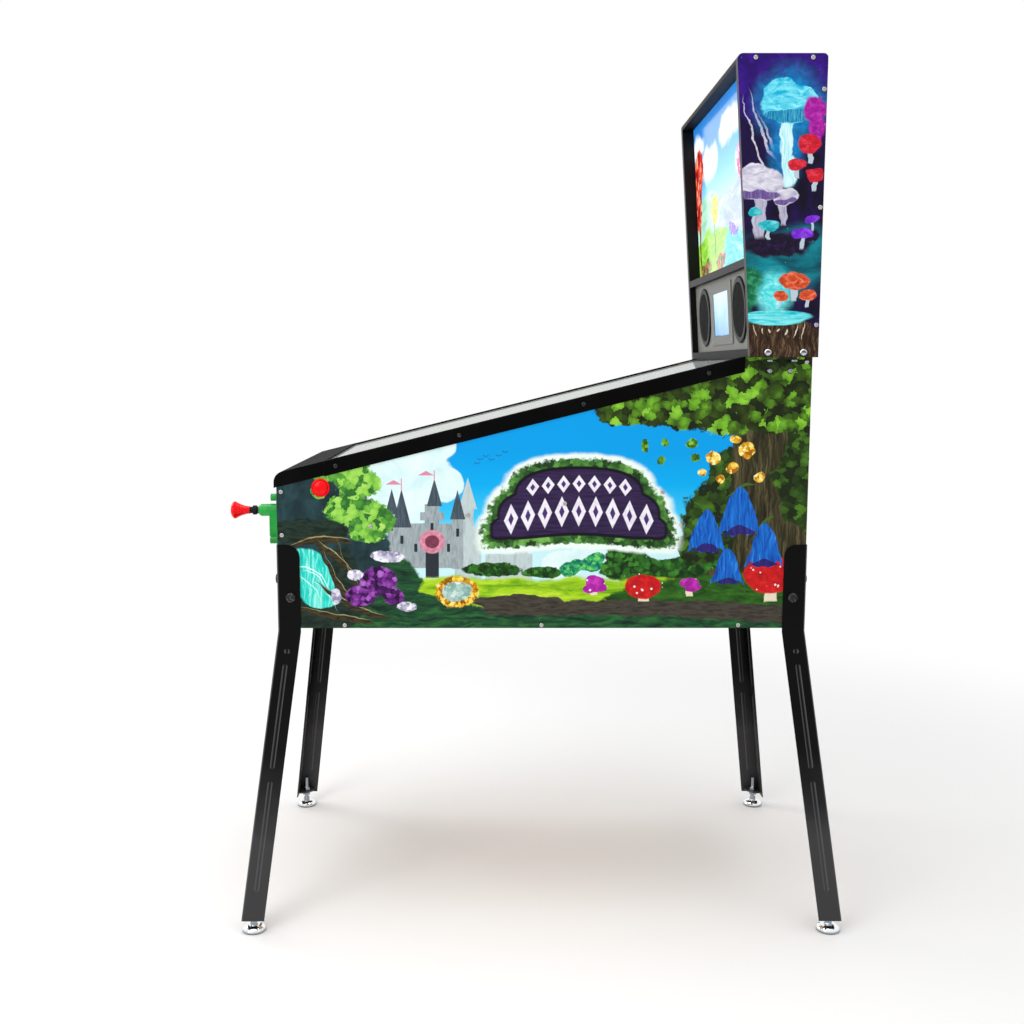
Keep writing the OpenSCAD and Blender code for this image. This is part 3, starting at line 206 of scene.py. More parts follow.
def cut_shapes(place, shapes):
    """Distance to boxes, slabs with rounded corners, lozenges, and points and bells standing on their
    base, 1 on their outlines. Each has its middle and half sizes; a point or bell has the middle of its
    base, half width and height."""
    parts = add("SeparateXYZ", {0: place})
    fields = []
    for kind, y, z, across, tall in shapes:
        side = add("Math", {0: parts.outputs["X"], 1: 1 / across, 2: -y / across}, operation="MULTIPLY_ADD")
        side = add("Math", {0: side}, operation="ABSOLUTE")
        up = add("Math", {0: parts.outputs["Y"], 1: 1 / tall, 2: -z / tall}, operation="MULTIPLY_ADD")
        height = add("Math", {0: up}, operation="ABSOLUTE") if kind in ("box", "lozenge") else up
        if kind == "box":
            reach = add("Math", {0: side, 1: height}, operation="MAXIMUM")
        elif kind == "slab":
            squared = add("CombineXYZ", {0: add("Math", {0: side, 1: side}, operation="MULTIPLY"),
                                         1: add("Math", {0: up, 1: up}, operation="MULTIPLY")})
            reach = add("Math", {0: add("VectorMath", {0: squared}, operation="LENGTH"), 1: 0.5}, operation="POWER")
        elif kind == "bell":
            flare = add("Math", {0: add("Math", {0: 1.0, 1: up}, operation="SUBTRACT"), 1: 0.6}, operation="POWER")
            flare = add("Math", {0: flare, 1: 0.05}, operation="MAXIMUM")
            scallop = add("Math", {0: add("Math", {0: side, 1: 9.0}, operation="MULTIPLY")}, operation="COSINE")
            below = add("Math", {0: scallop, 1: -0.06, 2: up}, operation="MULTIPLY_ADD")
            below = add("Math", {0: below, 1: -14.0, 2: 1.0}, operation="MULTIPLY_ADD")
            reach = add("Math", {0: add("Math", {0: side, 1: flare}, operation="DIVIDE"), 1: below},
                        operation="MAXIMUM")
            reach = add("Math", {0: reach, 1: add("Math", {0: up, 1: 0.02}, operation="ADD")}, operation="MAXIMUM")
        else:
            reach = add("Math", {0: side, 1: height}, operation="ADD")
        if kind == "point":
            below = add("Math", {0: up, 1: -40.0, 2: 1.0}, operation="MULTIPLY_ADD")
            reach = add("Math", {0: reach, 1: below}, operation="MAXIMUM")
        fields.append(reach)
    return nearest(fields)


def strands(place, bends):
    """Distance to curved strands, 1 on their edges. A strand has the y and z of its middle, its rise and
    bend along y, its half length along y and its half width."""
    parts = add("SeparateXYZ", {0: place})
    fields = []
    for y, z, rise, bend, reach, width in bends:
        along = add("Math", {0: parts.outputs["X"], 1: y}, operation="SUBTRACT")
        curve = add("Math", {0: along, 1: bend, 2: rise}, operation="MULTIPLY_ADD")
        curve = add("Math", {0: curve, 1: along, 2: z}, operation="MULTIPLY_ADD")
        off = add("Math", {0: parts.outputs["Y"], 1: curve}, operation="SUBTRACT")
        local = add("CombineXYZ", {0: add("Math", {0: along, 1: reach}, operation="DIVIDE"),
                                   1: add("Math", {0: off, 1: width}, operation="DIVIDE")})
        fields.append(add("VectorMath", {0: local}, operation="LENGTH"))
    return nearest(fields)


def tones(value, codes):
    """Colours spread evenly over a value that runs from 0 to 1."""
    ramp = add("ValToRGB", {0: value})
    stops = ramp.color_ramp.elements
    codes = codes.split()
    while len(stops) < len(codes):
        stops.new(0.5)
    for i, code in enumerate(codes):
        stops[i].position = 0.18 + 0.64 * i / (len(codes) - 1)
        stops[i].color = linear(code)
    return ramp


def brushed(place, grain, codes, stretch=(1, 1)):
    """Brush strokes of several tones, of that grain in millimetres, drawn out along y or z."""
    drawn = add("VectorMath", {0: place, 1: (1 / (grain * stretch[0]), 1 / (grain * stretch[1]), 0)},
                operation="MULTIPLY")
    strokes = add("TexNoise", {"Vector": drawn, "Scale": 1.0, "Detail": 4.0, "Roughness": 0.62, "Distortion": 0.6})
    return tones(strokes, codes)


def leafy(place, size, codes):
    """A crowd of overlapping leaves of that size in millimetres, each of its own tone."""
    cells = add("TexVoronoi", {"Vector": drift(place, 2.2 / size, 2.0, size), "Scale": 1 / size})
    tone = add("Math", {0: add("RGBToBW", {0: cells.outputs["Color"]}), 1: 1.33, 2: -0.165},
               operation="MULTIPLY_ADD")
    shade = add("Math", {0: cells.outputs["Distance"], 1: -0.45, 2: tone}, operation="MULTIPLY_ADD")
    patch = add("TexNoise", {"Vector": place, "Scale": 0.3 / size, "Detail": 2.0})
    shade = add("Math", {0: patch, 1: 0.9, 2: shade}, operation="MULTIPLY_ADD")
    return tones(add("Math", {0: shade, 1: 0.62, 2: -0.02}, operation="MULTIPLY_ADD"), codes)


def layer(shapes, colour, soft=0.03, blend=0.0, edge=None, rough_on=None):
    """Paints a colour over the picture in hand, inside ovals on the loose place or inside a distance that
    is made already. An edge breaks the outline up by clumps of a grain in millimetres and a depth."""
    global picture
    field = shapes if isinstance(shapes, bpy.types.Node) else rounds(loose, shapes, blend)
    if edge:
        grain, depth = edge
        clumps = add("TexNoise", {"Vector": rough_on or flat, "Scale": 1 / grain, "Detail": 3.0, "Roughness": 0.6})
        level = add("Math", {0: field, 1: depth / 2}, operation="SUBTRACT")
        field = add("Math", {0: clumps, 1: depth, 2: level}, operation="MULTIPLY_ADD")
    inside = add("MapRange", {"Value": field, "From Min": 1 - soft, "From Max": 1 + soft, "To Min": 1.0,
                              "To Max": 0.0}, interpolation_type="SMOOTHSTEP")
    if isinstance(colour, str):
        colour = linear(colour)
    picture = add("Mix", {0: inside, 6: picture, 7: colour}, data_type="RGBA")


def relief(strength, depth, scale, detail):
    """A fine relief over the surface in hand."""
    noise = add("TexNoise", {"Vector": add("TexCoord").outputs["Object"], "Scale": scale, "Detail": detail})
    feed("Normal", add("Bump", {"Height": noise, "Strength": strength, "Distance": depth}))


decal = finish("printed_vinyl_side_decal", Roughness=0.34, Specular_IOR_Level=0.14)
canvas((0.03, 2.0, 14), ("Y", front, 1000.0))
height = add("MapRange", {"Value": up_mm, "From Min": 700, "From Max": 1000})
picture = tones(height, "c9f0f5 3cc6f4 00acee 009ee8")
# Clouds
layer(((262, 905, 78, 62), (300, 962, 48, 34), (232, 842, 66, 58), (330, 884, 34, 34), (556, 724, 42, 30),
       (606, 742, 34, 24), (180, 940, 60, 40)), brushed(flat, 46, "bfe9ee dff6f6 f2fbfb"), 0.05, 0.2, (22, 0.22))
# Far and near castle: stone walls, pointed slate roofs, dark slits, pink pennants and a round window
for shapes, colour, soft in (
    ((("box", 452, 722, 46, 26), ("box", 476, 742, 13, 24), ("box", 372, 740, 26, 62), ("point", 372, 836, 18, 62),
      ("box", 372, 812, 11, 26)), brushed(flat, 14, "a9bcc0 c3d2d2 8fa3aa", (1, 3)), 0.02),
    ((("box", 224, 770, 9, 70), ("box", 243, 760, 13, 60), ("box", 302, 800, 14, 46), ("box", 302, 764, 56, 44),
      ("box", 302, 822, 23, 8), ("box", 352, 770, 11, 52)),
     brushed(flat, 9, "5f6c74 8d9a9f a9b4b6 6f7c84", (0.6, 3)), 0.02),
    ((("point", 224, 826, 13, 50), ("point", 243, 800, 19, 76), ("point", 307, 842, 15, 54),
      ("point", 352, 816, 15, 58)), brushed(flat, 10, "2b343d 46545f 5d6b76", (0.5, 4)), 0.02),
    ((("box", 302, 726, 13, 26), ("box", 243, 776, 3, 8), ("box", 302, 800, 3, 9), ("box", 224, 800, 2, 6),
      ("box", 352, 790, 3, 8), ("box", 270, 760, 3, 8), ("box", 334, 760, 3, 8), ("box", 452, 724, 3, 6)),
     "2a3038", 0.05),
    ((("point", 228, 884, 16, 9), ("point", 291, 902, 16, 9), ("box", 243, 884, 1, 12), ("box", 307, 902, 1, 10)),
     "dd8aa4", 0.05),
):
    layer(cut_shapes(flat, shapes), colour, soft)
for window, codes in (((302, 772, 25, 23), "a8566e d98aa0 f0bccb"), ((302, 772, 14, 13), "5c2438 8f4660")):
    layer(rounds(flat, (window,)), brushed(flat, 8, codes), 0.08)
# Rolling country: dark hedges, small trees and the big tree's shade on the right
layer(((420, 716, 60, 14), (516, 712, 40, 12), (680, 742, 40, 34), (700, 716, 70, 26), (780, 716, 60, 24),
       (850, 716, 60, 30)), leafy(flat, 9, "12300f 1f4a17 2f6b22 468a2e"), 0.05, 0.2, (12, 0.5))
layer(((572, 716, 19, 14), (584, 724, 15, 12), (612, 726, 24, 15), (622, 738, 16, 12)),
      leafy(flat, 6, "0d6b58 1f8f5f 46b86a 86d85a"), 0.05, 0.2, (8, 0.4))
layer(((880, 812, 92, 84), (952, 760, 90, 96), (1000, 850, 90, 120), (905, 900, 66, 60), (820, 760, 40, 34),
       (1020, 960, 70, 40)), leafy(flat, 15, "18240e 263d13 35571a 4d7a22"), 0.04, 0.2, (16, 0.5))
# Old trunk with its roots, streaked along the grain, then the crown and hanging sprays
layer(((916, 880, 34, 170), (938, 800, 46, 110), (985, 760, 54, 52), (890, 700, 50, 26), (960, 1000, 30, 90),
       (1016, 740, 34, 26)), brushed(loose, 13, "0b0d08 1e1c11 37331f 625a3c 1a1a10", (0.5, 6)), 0.05, 0.3)
layer(((668, 1026, 52, 30), (720, 1040, 66, 44), (796, 1040, 76, 50), (872, 1050, 88, 70), (960, 1050, 96, 66),
       (1040, 1040, 60, 56), (880, 1110, 200, 70)), leafy(flat, 19, "17210b 2c3d10 3f6318 6fae2a 93cf3f"),
      0.04, 0.2, (11, 0.42))
layer(((716, 960, 8, 12), (752, 966, 8, 8), (806, 964, 12, 9), (812, 936, 9, 8), (748, 930, 8, 9)),
      leafy(flat, 7, "2d5a15 5f9e2b 8ccf45"), 0.08, edge=(5, 0.9))
# Meadow, path and dark foreground
ripple = add("TexNoise", {"Vector": flat, "Scale": 0.012, "Detail": 3.0})
rise = add("Math", {0: ripple, 1: 34.0, 2: up_mm}, operation="MULTIPLY_ADD")
layer(add("Math", {0: rise, 1: 1 / 716}, operation="MULTIPLY"),
      brushed(flat, 26, "2c6114 5f9a17 9fce1c c9e63c 6aa71c", (3, 0.7)), 0.006)
layer(((900, 640, 260, 66), (760, 640, 130, 44), (1010, 690, 90, 40)),
      brushed(flat, 18, "10260d 1d4413 33691c 4e8a24", (2.4, 0.8)), 0.05, 0.2, (14, 0.25))
layer(((700, 610, 420, 46), (470, 652, 90, 15), (880, 632, 200, 16)),
      brushed(flat, 8, "171613 35312a 4b463c 25231e", (3, 0.6)), 0.04, 0.1, (12, 0.12))
layer(((520, 560, 700, 66), (200, 620, 210, 52), (160, 690, 120, 70)),
      brushed(loose, 15, "071510 0e2a1e 1c4a2c 2f6b34 0d241c", (3, 0.6)), 0.03, 0.2, (14, 0.12))
# Dark wood at the front, with lit leaves, and a turquoise waterfall among roots
layer(((40, 860, 130, 120), (110, 800, 100, 80), (40, 720, 110, 90), (160, 760, 60, 60)),
      brushed(flat, 40, "0e1b1f 1a2e33 27454a 16262b", (1, 1.6)), 0.04, 0.2, (24, 0.3))
layer(((120, 912, 60, 26), (160, 886, 44, 28), (136, 834, 44, 30), (178, 822, 40, 34), (176, 792, 36, 22),
       (80, 868, 14, 10), (206, 812, 24, 22)), leafy(flat, 13, "2f6b2c 5aa53a 8fd04e b4e36a"), 0.05, 0.15, (9, 0.7))
layer(((60, 792, 80, 26), (96, 634, 66, 44), (130, 700, 30, 60), (40, 650, 60, 40)),
      brushed(loose, 10, "060d0c 12201b 24382c 0d1815", (2.4, 0.8)), 0.06, 0.25, (16, 0.25))
layer(((52, 724, 44, 34), (72, 690, 40, 40), (84, 662, 34, 22)),
      brushed(loose, 9, "027f79 08b8ab 35dccb a8f5ea 12a79b", (0.7, 7)), 0.06, 0.25)
layer(strands(loose, ((70, 716, -0.7, -0.016, 34, 1.6), (80, 700, -1.1, -0.02, 28, 1.3),
                      (60, 690, -0.9, -0.012, 26, 1.2), (92, 676, -1.2, -0.02, 20, 1.1))), "d8fffa", 0.4)
for bends, codes in (
    (((80, 778, 0.12, -0.004, 66, 8), (112, 742, -0.9, -0.004, 44, 8), (116, 690, -1.6, 0.012, 40, 8),
      (150, 640, -0.5, 0.003, 70, 7), (110, 624, -0.2, 0.0, 80, 6), (132, 720, -2.2, 0.03, 26, 6)),
     "0a0f0c 231f14 453c24 17140d"),
    (((82, 783, 0.12, -0.004, 60, 1.3), (116, 746, -0.9, -0.004, 38, 1.4), (122, 692, -1.6, 0.012, 34, 1.2),
      (150, 646, -0.5, 0.003, 60, 1.2), (112, 629, -0.2, 0.0, 70, 1.0), (136, 722, -2.2, 0.03, 22, 1.0)),
     "5a5232 9a9060 c9c592"),
):
    layer(strands(loose, bends), brushed(loose, 6, codes, (3, 0.8)), 0.15)
# Mushrooms: red and magenta caps with pale spots on pale stems
layer(cut_shapes(loose, (("box", 716, 670, 10, 16), ("box", 620, 680, 6, 14), ("box", 806, 676, 6, 12),
                         ("box", 966, 680, 13, 26))), "e8dcc0", 0.08)
for caps, codes in ((((716, 682, 36, 24), (966, 706, 52, 36)), "7d0d12 c8171c e8322c"),
                    (((620, 692, 18, 13), (628, 680, 16, 8), (610, 678, 12, 8), (806, 690, 18, 11),
                      (814, 678, 15, 7)), "6a0f63 b324a5 dd55cf")):
    layer(caps, brushed(flat, 14, codes), 0.05)
    dots = add("TexVoronoi", {"Vector": flat, "Scale": 1 / 11})
    inside = rounds(loose, [(y, z + 3, a * 0.8, b * 0.7) for y, z, a, b in caps])
    inside = add("Math", {0: inside, 1: 1.0}, operation="MAXIMUM")
    spots = add("Math", {0: dots, 1: 5.0, 2: inside}, operation="MULTIPLY_ADD")
    layer(add("Math", {0: spots, 1: 1.0}, operation="SUBTRACT"), "f6efe6", 0.2)
# Flowers: a golden one with a pale eye, violet and white ones by the falls, and tall blue bells
for shapes, size, codes in (
    (((350, 671, 42, 31),), 7, "8a5208 e0a01c ffd84a fff2a8"),
    (((350, 673, 28, 19),), 9, "7fa8a0 b8d6cc eaf8f0"),
    (((196, 694, 36, 28), (160, 664, 30, 22), (226, 662, 22, 16)), 10, "240832 54186a 8a3aa0 b06ac8"),
    (((214, 742, 34, 12), (150, 706, 15, 12), (252, 642, 20, 9), (112, 664, 10, 16)), 8,
     "8e88a6 c8c4d8 f0edf6 ffffff"),
):
    layer(shapes, leafy(flat, size, codes), 0.06, 0.1, (8, 0.35))
layer(strands(loose, ((836, 838, -0.9, -0.02, 26, 2.4), (902, 882, 0.6, -0.02, 26, 2.4),
                      (946, 806, 1.1, -0.02, 22, 2.4), (872, 716, 1.3, 0.01, 22, 2.4))), "3f6a24", 0.2)
for shapes, codes in (
    ((("bell", 838, 756, 36, 82), ("bell", 902, 788, 42, 96), ("bell", 952, 726, 36, 84),
      ("bell", 880, 690, 32, 70)), "0a1c5a 0f48a8 1c78d8 6ab8f4"),
    ((("bell", 838, 753, 28, 16), ("bell", 902, 785, 33, 18), ("bell", 952, 723, 28, 16),
      ("bell", 880, 687, 25, 14)), "10103a 2a2470 4a3ca0"),
):
    layer(cut_shapes(loose, shapes), brushed(loose, 9, codes, (0.5, 6)), 0.04)
layer(((848, 936, 15, 13), (884, 916, 12, 11), (912, 950, 17, 15), (938, 898, 11, 10), (862, 896, 9, 8),
       (890, 972, 11, 9), (826, 906, 8, 7)), leafy(flat, 7, "a8640c e8b024 fbe068 fff6c0"), 0.05, edge=(9, 0.5))
# A blank wooden plaque in a wreath, bowed downwards at its ends
plaque_middle = 588
boards = ((836, 160, 52), (854, 128, 66), (820, 174, 30))
bow = add("Math", {0: across_mm, 1: plaque_middle}, operation="SUBTRACT")
bow = add("Math", {0: bow, 1: 2.0}, operation="POWER")
bow = add("CombineXYZ", {1: add("Math", {0: bow, 1: 0.0009}, operation="MULTIPLY")})
bowed = add("VectorMath", {0: flat, 1: bow}, operation="ADD")
for wider, colour, soft, edge in (
    (25, "eefbf2", 0.05, (26, 0.1)),
    (15, leafy(flat, 12, "1d3a18 35662a 4f8c3c 7ab355"), 0.03, (13, 0.3)),
    (0, "120d1a", 0.02, None),
    (-6, brushed(flat, 6, "170f26 281a3c 3a2852 1f142f", (9, 0.8)), 0.02, None),
):
    plaque = [("slab", plaque_middle, z, across + wider, tall + wider) for z, across, tall in boards]
    layer(cut_shapes(bowed, plaque), colour, soft, edge=edge)
# Two rows of pale lozenges inlaid along the boards
inlay, heart = [], []
for row, count, step, tall in ((886, 7, 30, 17), (832, 9, 33, 30)):
    for i in range(count):
        y = plaque_middle + (i - (count - 1) / 2) * step
        inlay.append(("lozenge", y, row, step * 0.42, tall))
        heart.append(("lozenge", y, row, step * 0.16, tall * 0.42))
layer(cut_shapes(bowed, inlay), brushed(flat, 12, "d2c8dc efeaf4 fbf8fd"), 0.05)
layer(cut_shapes(bowed, heart), "4a2f6e", 0.08)
# A flock of birds
layer(strands(flat, [(y + s * 3, z, s * 0.5, -0.05, 3.2, 0.9) for y, z in (
    (396, 934), (407, 940), (418, 933), (432, 941), (444, 948), (390, 926)) for s in (-1, 1)]), "1a5f8c", 0.3)

outer = add("Math", {0: axes.outputs["X"]}, operation="ABSOLUTE")
skin = add("Math", {0: outer, 1: half_w - film_deep}, operation="GREATER_THAN")
inner = add("Math", {0: outer, 1: half_w - ply_deep + film_deep}, operation="LESS_THAN")
along = add("VectorMath", {0: add("TexCoord").outputs["Object"], 1: (60, 8, 90)}, operation="MULTIPLY")
birch = tones(add("TexNoise", {"Vector": along, "Scale": 1.0, "Detail": 6.0}), "a8804e c79f68 d9b782")
edge = add("Mix", {0: inner, 6: linear("0b0b0c"), 7: birch}, data_type="RGBA")
feed("Base Color", add("Mix", {0: skin, 6: edge, 7: picture}, data_type="RGBA"))
relief(0.06, film_deep, 350.0, 2.0)
dress(decal, "side_panel_right", "side_panel_left")

# ---- Front, rear, floor and neck ----
# The front panel has the same printed vinyl. The rear panel is ply painted with black emulsion,
# the floor is bare birch ply, and the neck board under the backbox is painted black.


def grained(name, noise, codes, bumps=None, rough=None, stretch=None, distortion=0.0, **sockets):
    """A finish coloured by noise, of a scale a metre and a detail, that stretch draws out along an axis.
    Bumps are a strength and a depth, and a noise of their own where the last two are given."""
    material = finish(name, **sockets)
    place = add("TexCoord").outputs["Object"]
    if stretch:
        place = add("VectorMath", {0: place, 1: stretch}, operation="MULTIPLY")
    cloud = add("TexNoise", {"Vector": place, "Scale": noise[0], "Detail": noise[1], "Distortion": distortion})
    feed("Base Color", tones(cloud, codes))
    if bumps and len(bumps) == 2:
        feed("Normal", add("Bump", {"Height": cloud, "Strength": bumps[0], "Distance": bumps[1]}))
    elif bumps:
        relief(*bumps)
    if rough:
        feed("Roughness", add("MapRange", {"Value": cloud, "To Min": rough[0], "To Max": rough[1]}))
    return material


decal_front = finish("printed_vinyl_front_decal", Roughness=0.34, Specular_IOR_Level=0.14)
canvas((0.03, 2.0, 14))
picture = brushed(flat, 40, "0e1b1f 1a2e33 27454a 16262b", (1, 1.6))
layer(((0, 770, 170, 110), (-190, 830, 70, 40)), brushed(flat, 40, "0f6f86 1aa0bd 7fd8e2"), 0.12, 0.2, (30, 0.3))
layer(((0, 560, 420, 100), (-230, 640, 90, 60), (230, 640, 90, 60)),
      brushed(loose, 15, "071510 0e2a1e 1c4a2c 4f8a1f 0d241c", (3, 0.6)), 0.04, 0.2, (14, 0.2))
layer(((-240, 870, 70, 44), (240, 780, 50, 90), (-250, 720, 40, 80), (0, 900, 200, 24)),
      leafy(flat, 13, "2f6b2c 5aa53a 8fd04e b4e36a"), 0.05, 0.2, (10, 0.6))
for caps, codes in ((((-178, 668, 34, 24), (190, 650, 26, 18)), "7d0d12 c8171c e8322c"),
                    (((-220, 646, 18, 12), (222, 672, 16, 11)), "6a0f63 b324a5 dd55cf")):
    layer(cut_shapes(loose, [("box", y, z - b, a * 0.24, b * 0.7) for y, z, a, b in caps]), "e8dcc0", 0.08)
    layer(caps, brushed(flat, 14, codes), 0.05)
outside = add("Math", {0: axes.outputs["Y"], 1: front + film_deep}, operation="LESS_THAN")
feed("Base Color", add("Mix", {0: outside, 6: linear("b98f5c"), 7: picture}, data_type="RGBA"))
dress(decal_front, "front_panel")
# Rolled emulsion: nearly black, faintly dusty and orange-peeled
dress(grained("black_painted_ply", (9.0, 4.0), "0a0a0b 101011 161617", (0.12, 0.0005, 420.0, 3.0), Roughness=0.5,
              Specular_IOR_Level=0.12), "rear_panel", "neck_board", "backbox_floor", "backbox_top", "backbox_back")
# Bare ply: pale yellow with fine darker grain along the boards
dress(grained("birch_plywood", (1.0, 8.0), "8f6a3e b68c57 cfa874 e0c294", (0.15, 0.0006), None, (90, 7, 300), 0.4,
              Roughness=0.6, Specular_IOR_Level=0.3), "cabinet_floor", "playfield_cleats")

# ---- Corner plates, catch plate, hinge pins and nuts ----
# Pressed steel with bright zinc plating: a cool grey with a faint mottled crystal bloom.
zinc = finish("zinc_plated_steel", Metallic=1.0, Roughness=0.34)
bloom = add("TexVoronoi", {"Vector": add("TexCoord").outputs["Object"], "Scale": 260.0})
feed("Base Color", tones(bloom, "8f949a b4b8bc cfd2d4"))
feed("Roughness", add("MapRange", {"Value": bloom, "To Min": 0.26, "To Max": 0.42}))
dress(zinc, "leg_plates", "lockbar_receiver", "door_hinge_pins", "power_supply")

# ---- Legs ----
# Folded steel angles with pressed beads, powder coated black: a satin skin with a fine orange peel,
# greyer towards the feet, with a painted highlight along the sloped sides of the beads.
coat = finish("black_powder_coat_legs", Roughness=0.24, Specular_IOR_Level=0.1)
spot = add("TexCoord")
axes = add("SeparateXYZ", {0: spot.outputs["Object"]})
wear = add("TexNoise", {"Vector": spot.outputs["Object"], "Scale": 14.0, "Detail": 5.0})
# Greyer towards the feet, over a random mottle
low = add("MapRange", {"Value": axes.outputs["Z"], "From Min": 0.46, "From Max": 0.16})
low = add("Math", {0: low, 1: 0.75}, operation="MULTIPLY")
mottled_greyer_low = add("Math", {0: wear, 1: 0.3, 2: low}, operation="MULTIPLY_ADD")
# Painted highlight: the sloped sides of the beads and the rounded fold, which face partly sideways, are painted
# paler
faces = add("SeparateXYZ", {0: add("VectorMath", {0: spot.outputs["Normal"]}, operation="ABSOLUTE")})
turned = add("Math", {0: faces.outputs["X"], 1: faces.outputs["Y"]}, operation="MINIMUM")
bead_highlight = add("MapRange", {"Value": turned, "From Min": 0.12, "From Max": 0.5, "To Min": 0.0, "To Max": 0.85})
coating = tones(mottled_greyer_low, "010101 050505 202021 3c3c3d")
feed("Base Color", add("Mix", {0: bead_highlight, 6: coating, 7: linear("5c5c5e")}, data_type="RGBA"))
feed("Roughness", add("MapRange", {"Value": wear, "To Min": 0.24, "To Max": 0.4}))
relief(0.1, 0.0004, 600.0, 2.0)
legs = [f"leg_{end}_{side}" for end in ("front", "rear") for side in ("right", "left")]
dress(coat, *legs)

# ---- Levellers ----
# Turned steel feet and their nuts, polished and chromed, with a painted reflection of a bright room above:
# darker where the skin faces sideways or down.
chrome = finish("polished_chrome", Metallic=1.0, Roughness=0.08)
spot = add("TexCoord")
# Painted reflection: the colour runs from dark on faces turned down to bright on faces turned up
up = add("SeparateXYZ", {0: spot.outputs["Normal"]})
up = add("Math", {0: up.outputs["Z"], 1: 0.5, 2: 0.5}, operation="MULTIPLY_ADD")
feed("Base Color", tones(up, "0c0d0f 3a3d42 9aa0a6 e4e7ea f4f6f8"))
smear = add("TexNoise", {"Vector": spot.outputs["Object"], "Scale": 40.0, "Detail": 4.0})
feed("Roughness", add("MapRange", {"Value": smear, "To Min": 0.04, "To Max": 0.16}))
dress(chrome, *[name.replace("leg_", "leveller_") for name in legs], "leveller_nuts", "plunger_rod", "door_lock")

# ---- Bolts and screws ----
# The leg bolts are black oxide socket heads. The backbox bolts are chromed, and the panel screws are
# nickel-plated pan heads with a cross recess. Each is shaped once and copied to every place.


def clear():
    """Nothing is selected, so that the next operator acts on the new piece alone."""
    bpy.ops.object.select_all(action="DESELECT")


def lone(piece):
    """Selects one piece only."""
    clear()
    piece.select_set(True)
    bpy.context.view_layer.objects.active = piece
    return piece


def pick(piece, test):
    """Goes into edit mode with only the faces selected whose middle and normal pass the test."""
    lone(piece)
    mesh = piece.data
    mesh.vertices.foreach_set("select", [False] * len(mesh.vertices))
    mesh.edges.foreach_set("select", [False] * len(mesh.edges))
    mesh.polygons.foreach_set("select", [bool(test(face.center, face.normal)) for face in mesh.polygons])
    bpy.context.tool_settings.mesh_select_mode = (False, False, True)
    bpy.ops.object.mode_set(mode="EDIT")


def done():
    bpy.ops.object.mode_set(mode="OBJECT")


def apply(piece, kind, **settings):
    """Adds a modifier and applies it."""
    lone(piece)
    change = piece.modifiers.new(kind.lower(), kind)
    for name, value in settings.items():
        setattr(change, name, value)
    bpy.ops.object.modifier_apply(modifier=change.name)


def soften(piece, width, segments=2, angle=40):
    """Rounds the edges of a piece that are sharper than an angle in degrees."""
    apply(piece, "BEVEL", width=width, segments=segments, angle_limit=math.radians(angle))


def cut(piece, low, high, turn=0):
    """Cuts a rectangular recess between two corners, turned about Z by an angle in degrees."""
    cutter = block("recess", low, high)
    cutter.rotation_euler.z = math.radians(turn)
    apply(piece, "BOOLEAN", operation="DIFFERENCE", object=cutter, solver="EXACT")
    bpy.data.objects.remove(cutter)


def twin(piece, name):
    """A second piece with a copy of the first one's mesh."""
    other = bpy.data.objects.new(name, piece.data.copy())
    scene.collection.objects.link(other)
    return other


def round_bar(name, radius, low, high, sides=24):
    """A round bar along Z to start a turned piece from."""
    clear()
    bpy.ops.mesh.primitive_cylinder_add(vertices=sides, radius=radius, depth=high - low,
                                        location=(0, 0, (low + high) / 2))
    piece = bpy.context.object
    piece.name = name
    bpy.ops.object.transform_apply()
    return piece


def block(name, low, high):
    """A rectangular block between two corners to start a piece from."""
    clear()
    low, high = Vector(low), Vector(high)
    bpy.ops.mesh.primitive_cube_add(size=1, location=(low + high) / 2)
    piece = bpy.context.object
    piece.name = name
    piece.scale = high - low
    bpy.ops.object.transform_apply()
    return piece


def push(*value):
    """Extrudes the selected faces by a distance along X, Y and Z."""
    bpy.ops.mesh.extrude_region_move(TRANSFORM_OT_translate={"value": value})


def ring_step(piece, test, inset, move):
    """Insets the picked faces and pushes the inner part along Z."""
    pick(piece, test)
    bpy.ops.mesh.inset(thickness=inset, depth=0)
    push(0, 0, move)
    done()


def copies(piece, places):
    """Copies of a piece's mesh at each place, joined into the one piece."""
    made = []
    for place in places:
        other = twin(piece, piece.name)
        other.data.transform(place)
        made.append(other)
    name = piece.name
    bpy.data.objects.remove(piece)
    return joined(name, made)


def joined(name, parts):
    """Several pieces made into one mesh."""
    clear()
    for part in parts:
        part.select_set(True)
    bpy.context.view_layer.objects.active = parts[0]
    if len(parts) > 1:
        bpy.ops.object.join()
    parts[0].name = name
    return parts[0]


def fit(piece, material, body="root", place=None, angle=35):
    """Finishes a piece: its place goes into its mesh, and it takes its material and rides on its body."""
    lone(piece)
    bpy.ops.object.transform_apply()
    if place is not None:
        piece.data.transform(place)
    bpy.ops.object.shade_smooth_by_angle(angle=math.radians(angle))
    piece.data.materials.clear()
    piece.data.materials.append(material)
    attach(piece, body)
    return piece


def stations(name):
    """Lowest and highest corner of each solid in a CAD node, read from a merged copy of its mesh."""
    lone(twin(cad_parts[name], name + "_copy"))
    bpy.ops.object.mode_set(mode="EDIT")
    bpy.ops.mesh.select_all(action="SELECT")
    bpy.ops.mesh.remove_doubles(threshold=0.00002)
    bpy.ops.mesh.separate(type="LOOSE")
    done()
    boxes = []
    for part in list(bpy.context.selected_objects):
        corners = [Vector(c) for c in part.bound_box]
        boxes.append((Vector(map(min, *corners)), Vector(map(max, *corners))))
        bpy.data.objects.remove(part)
    return sorted(boxes, key=lambda b: tuple(round(v, 4) for v in b[0]))


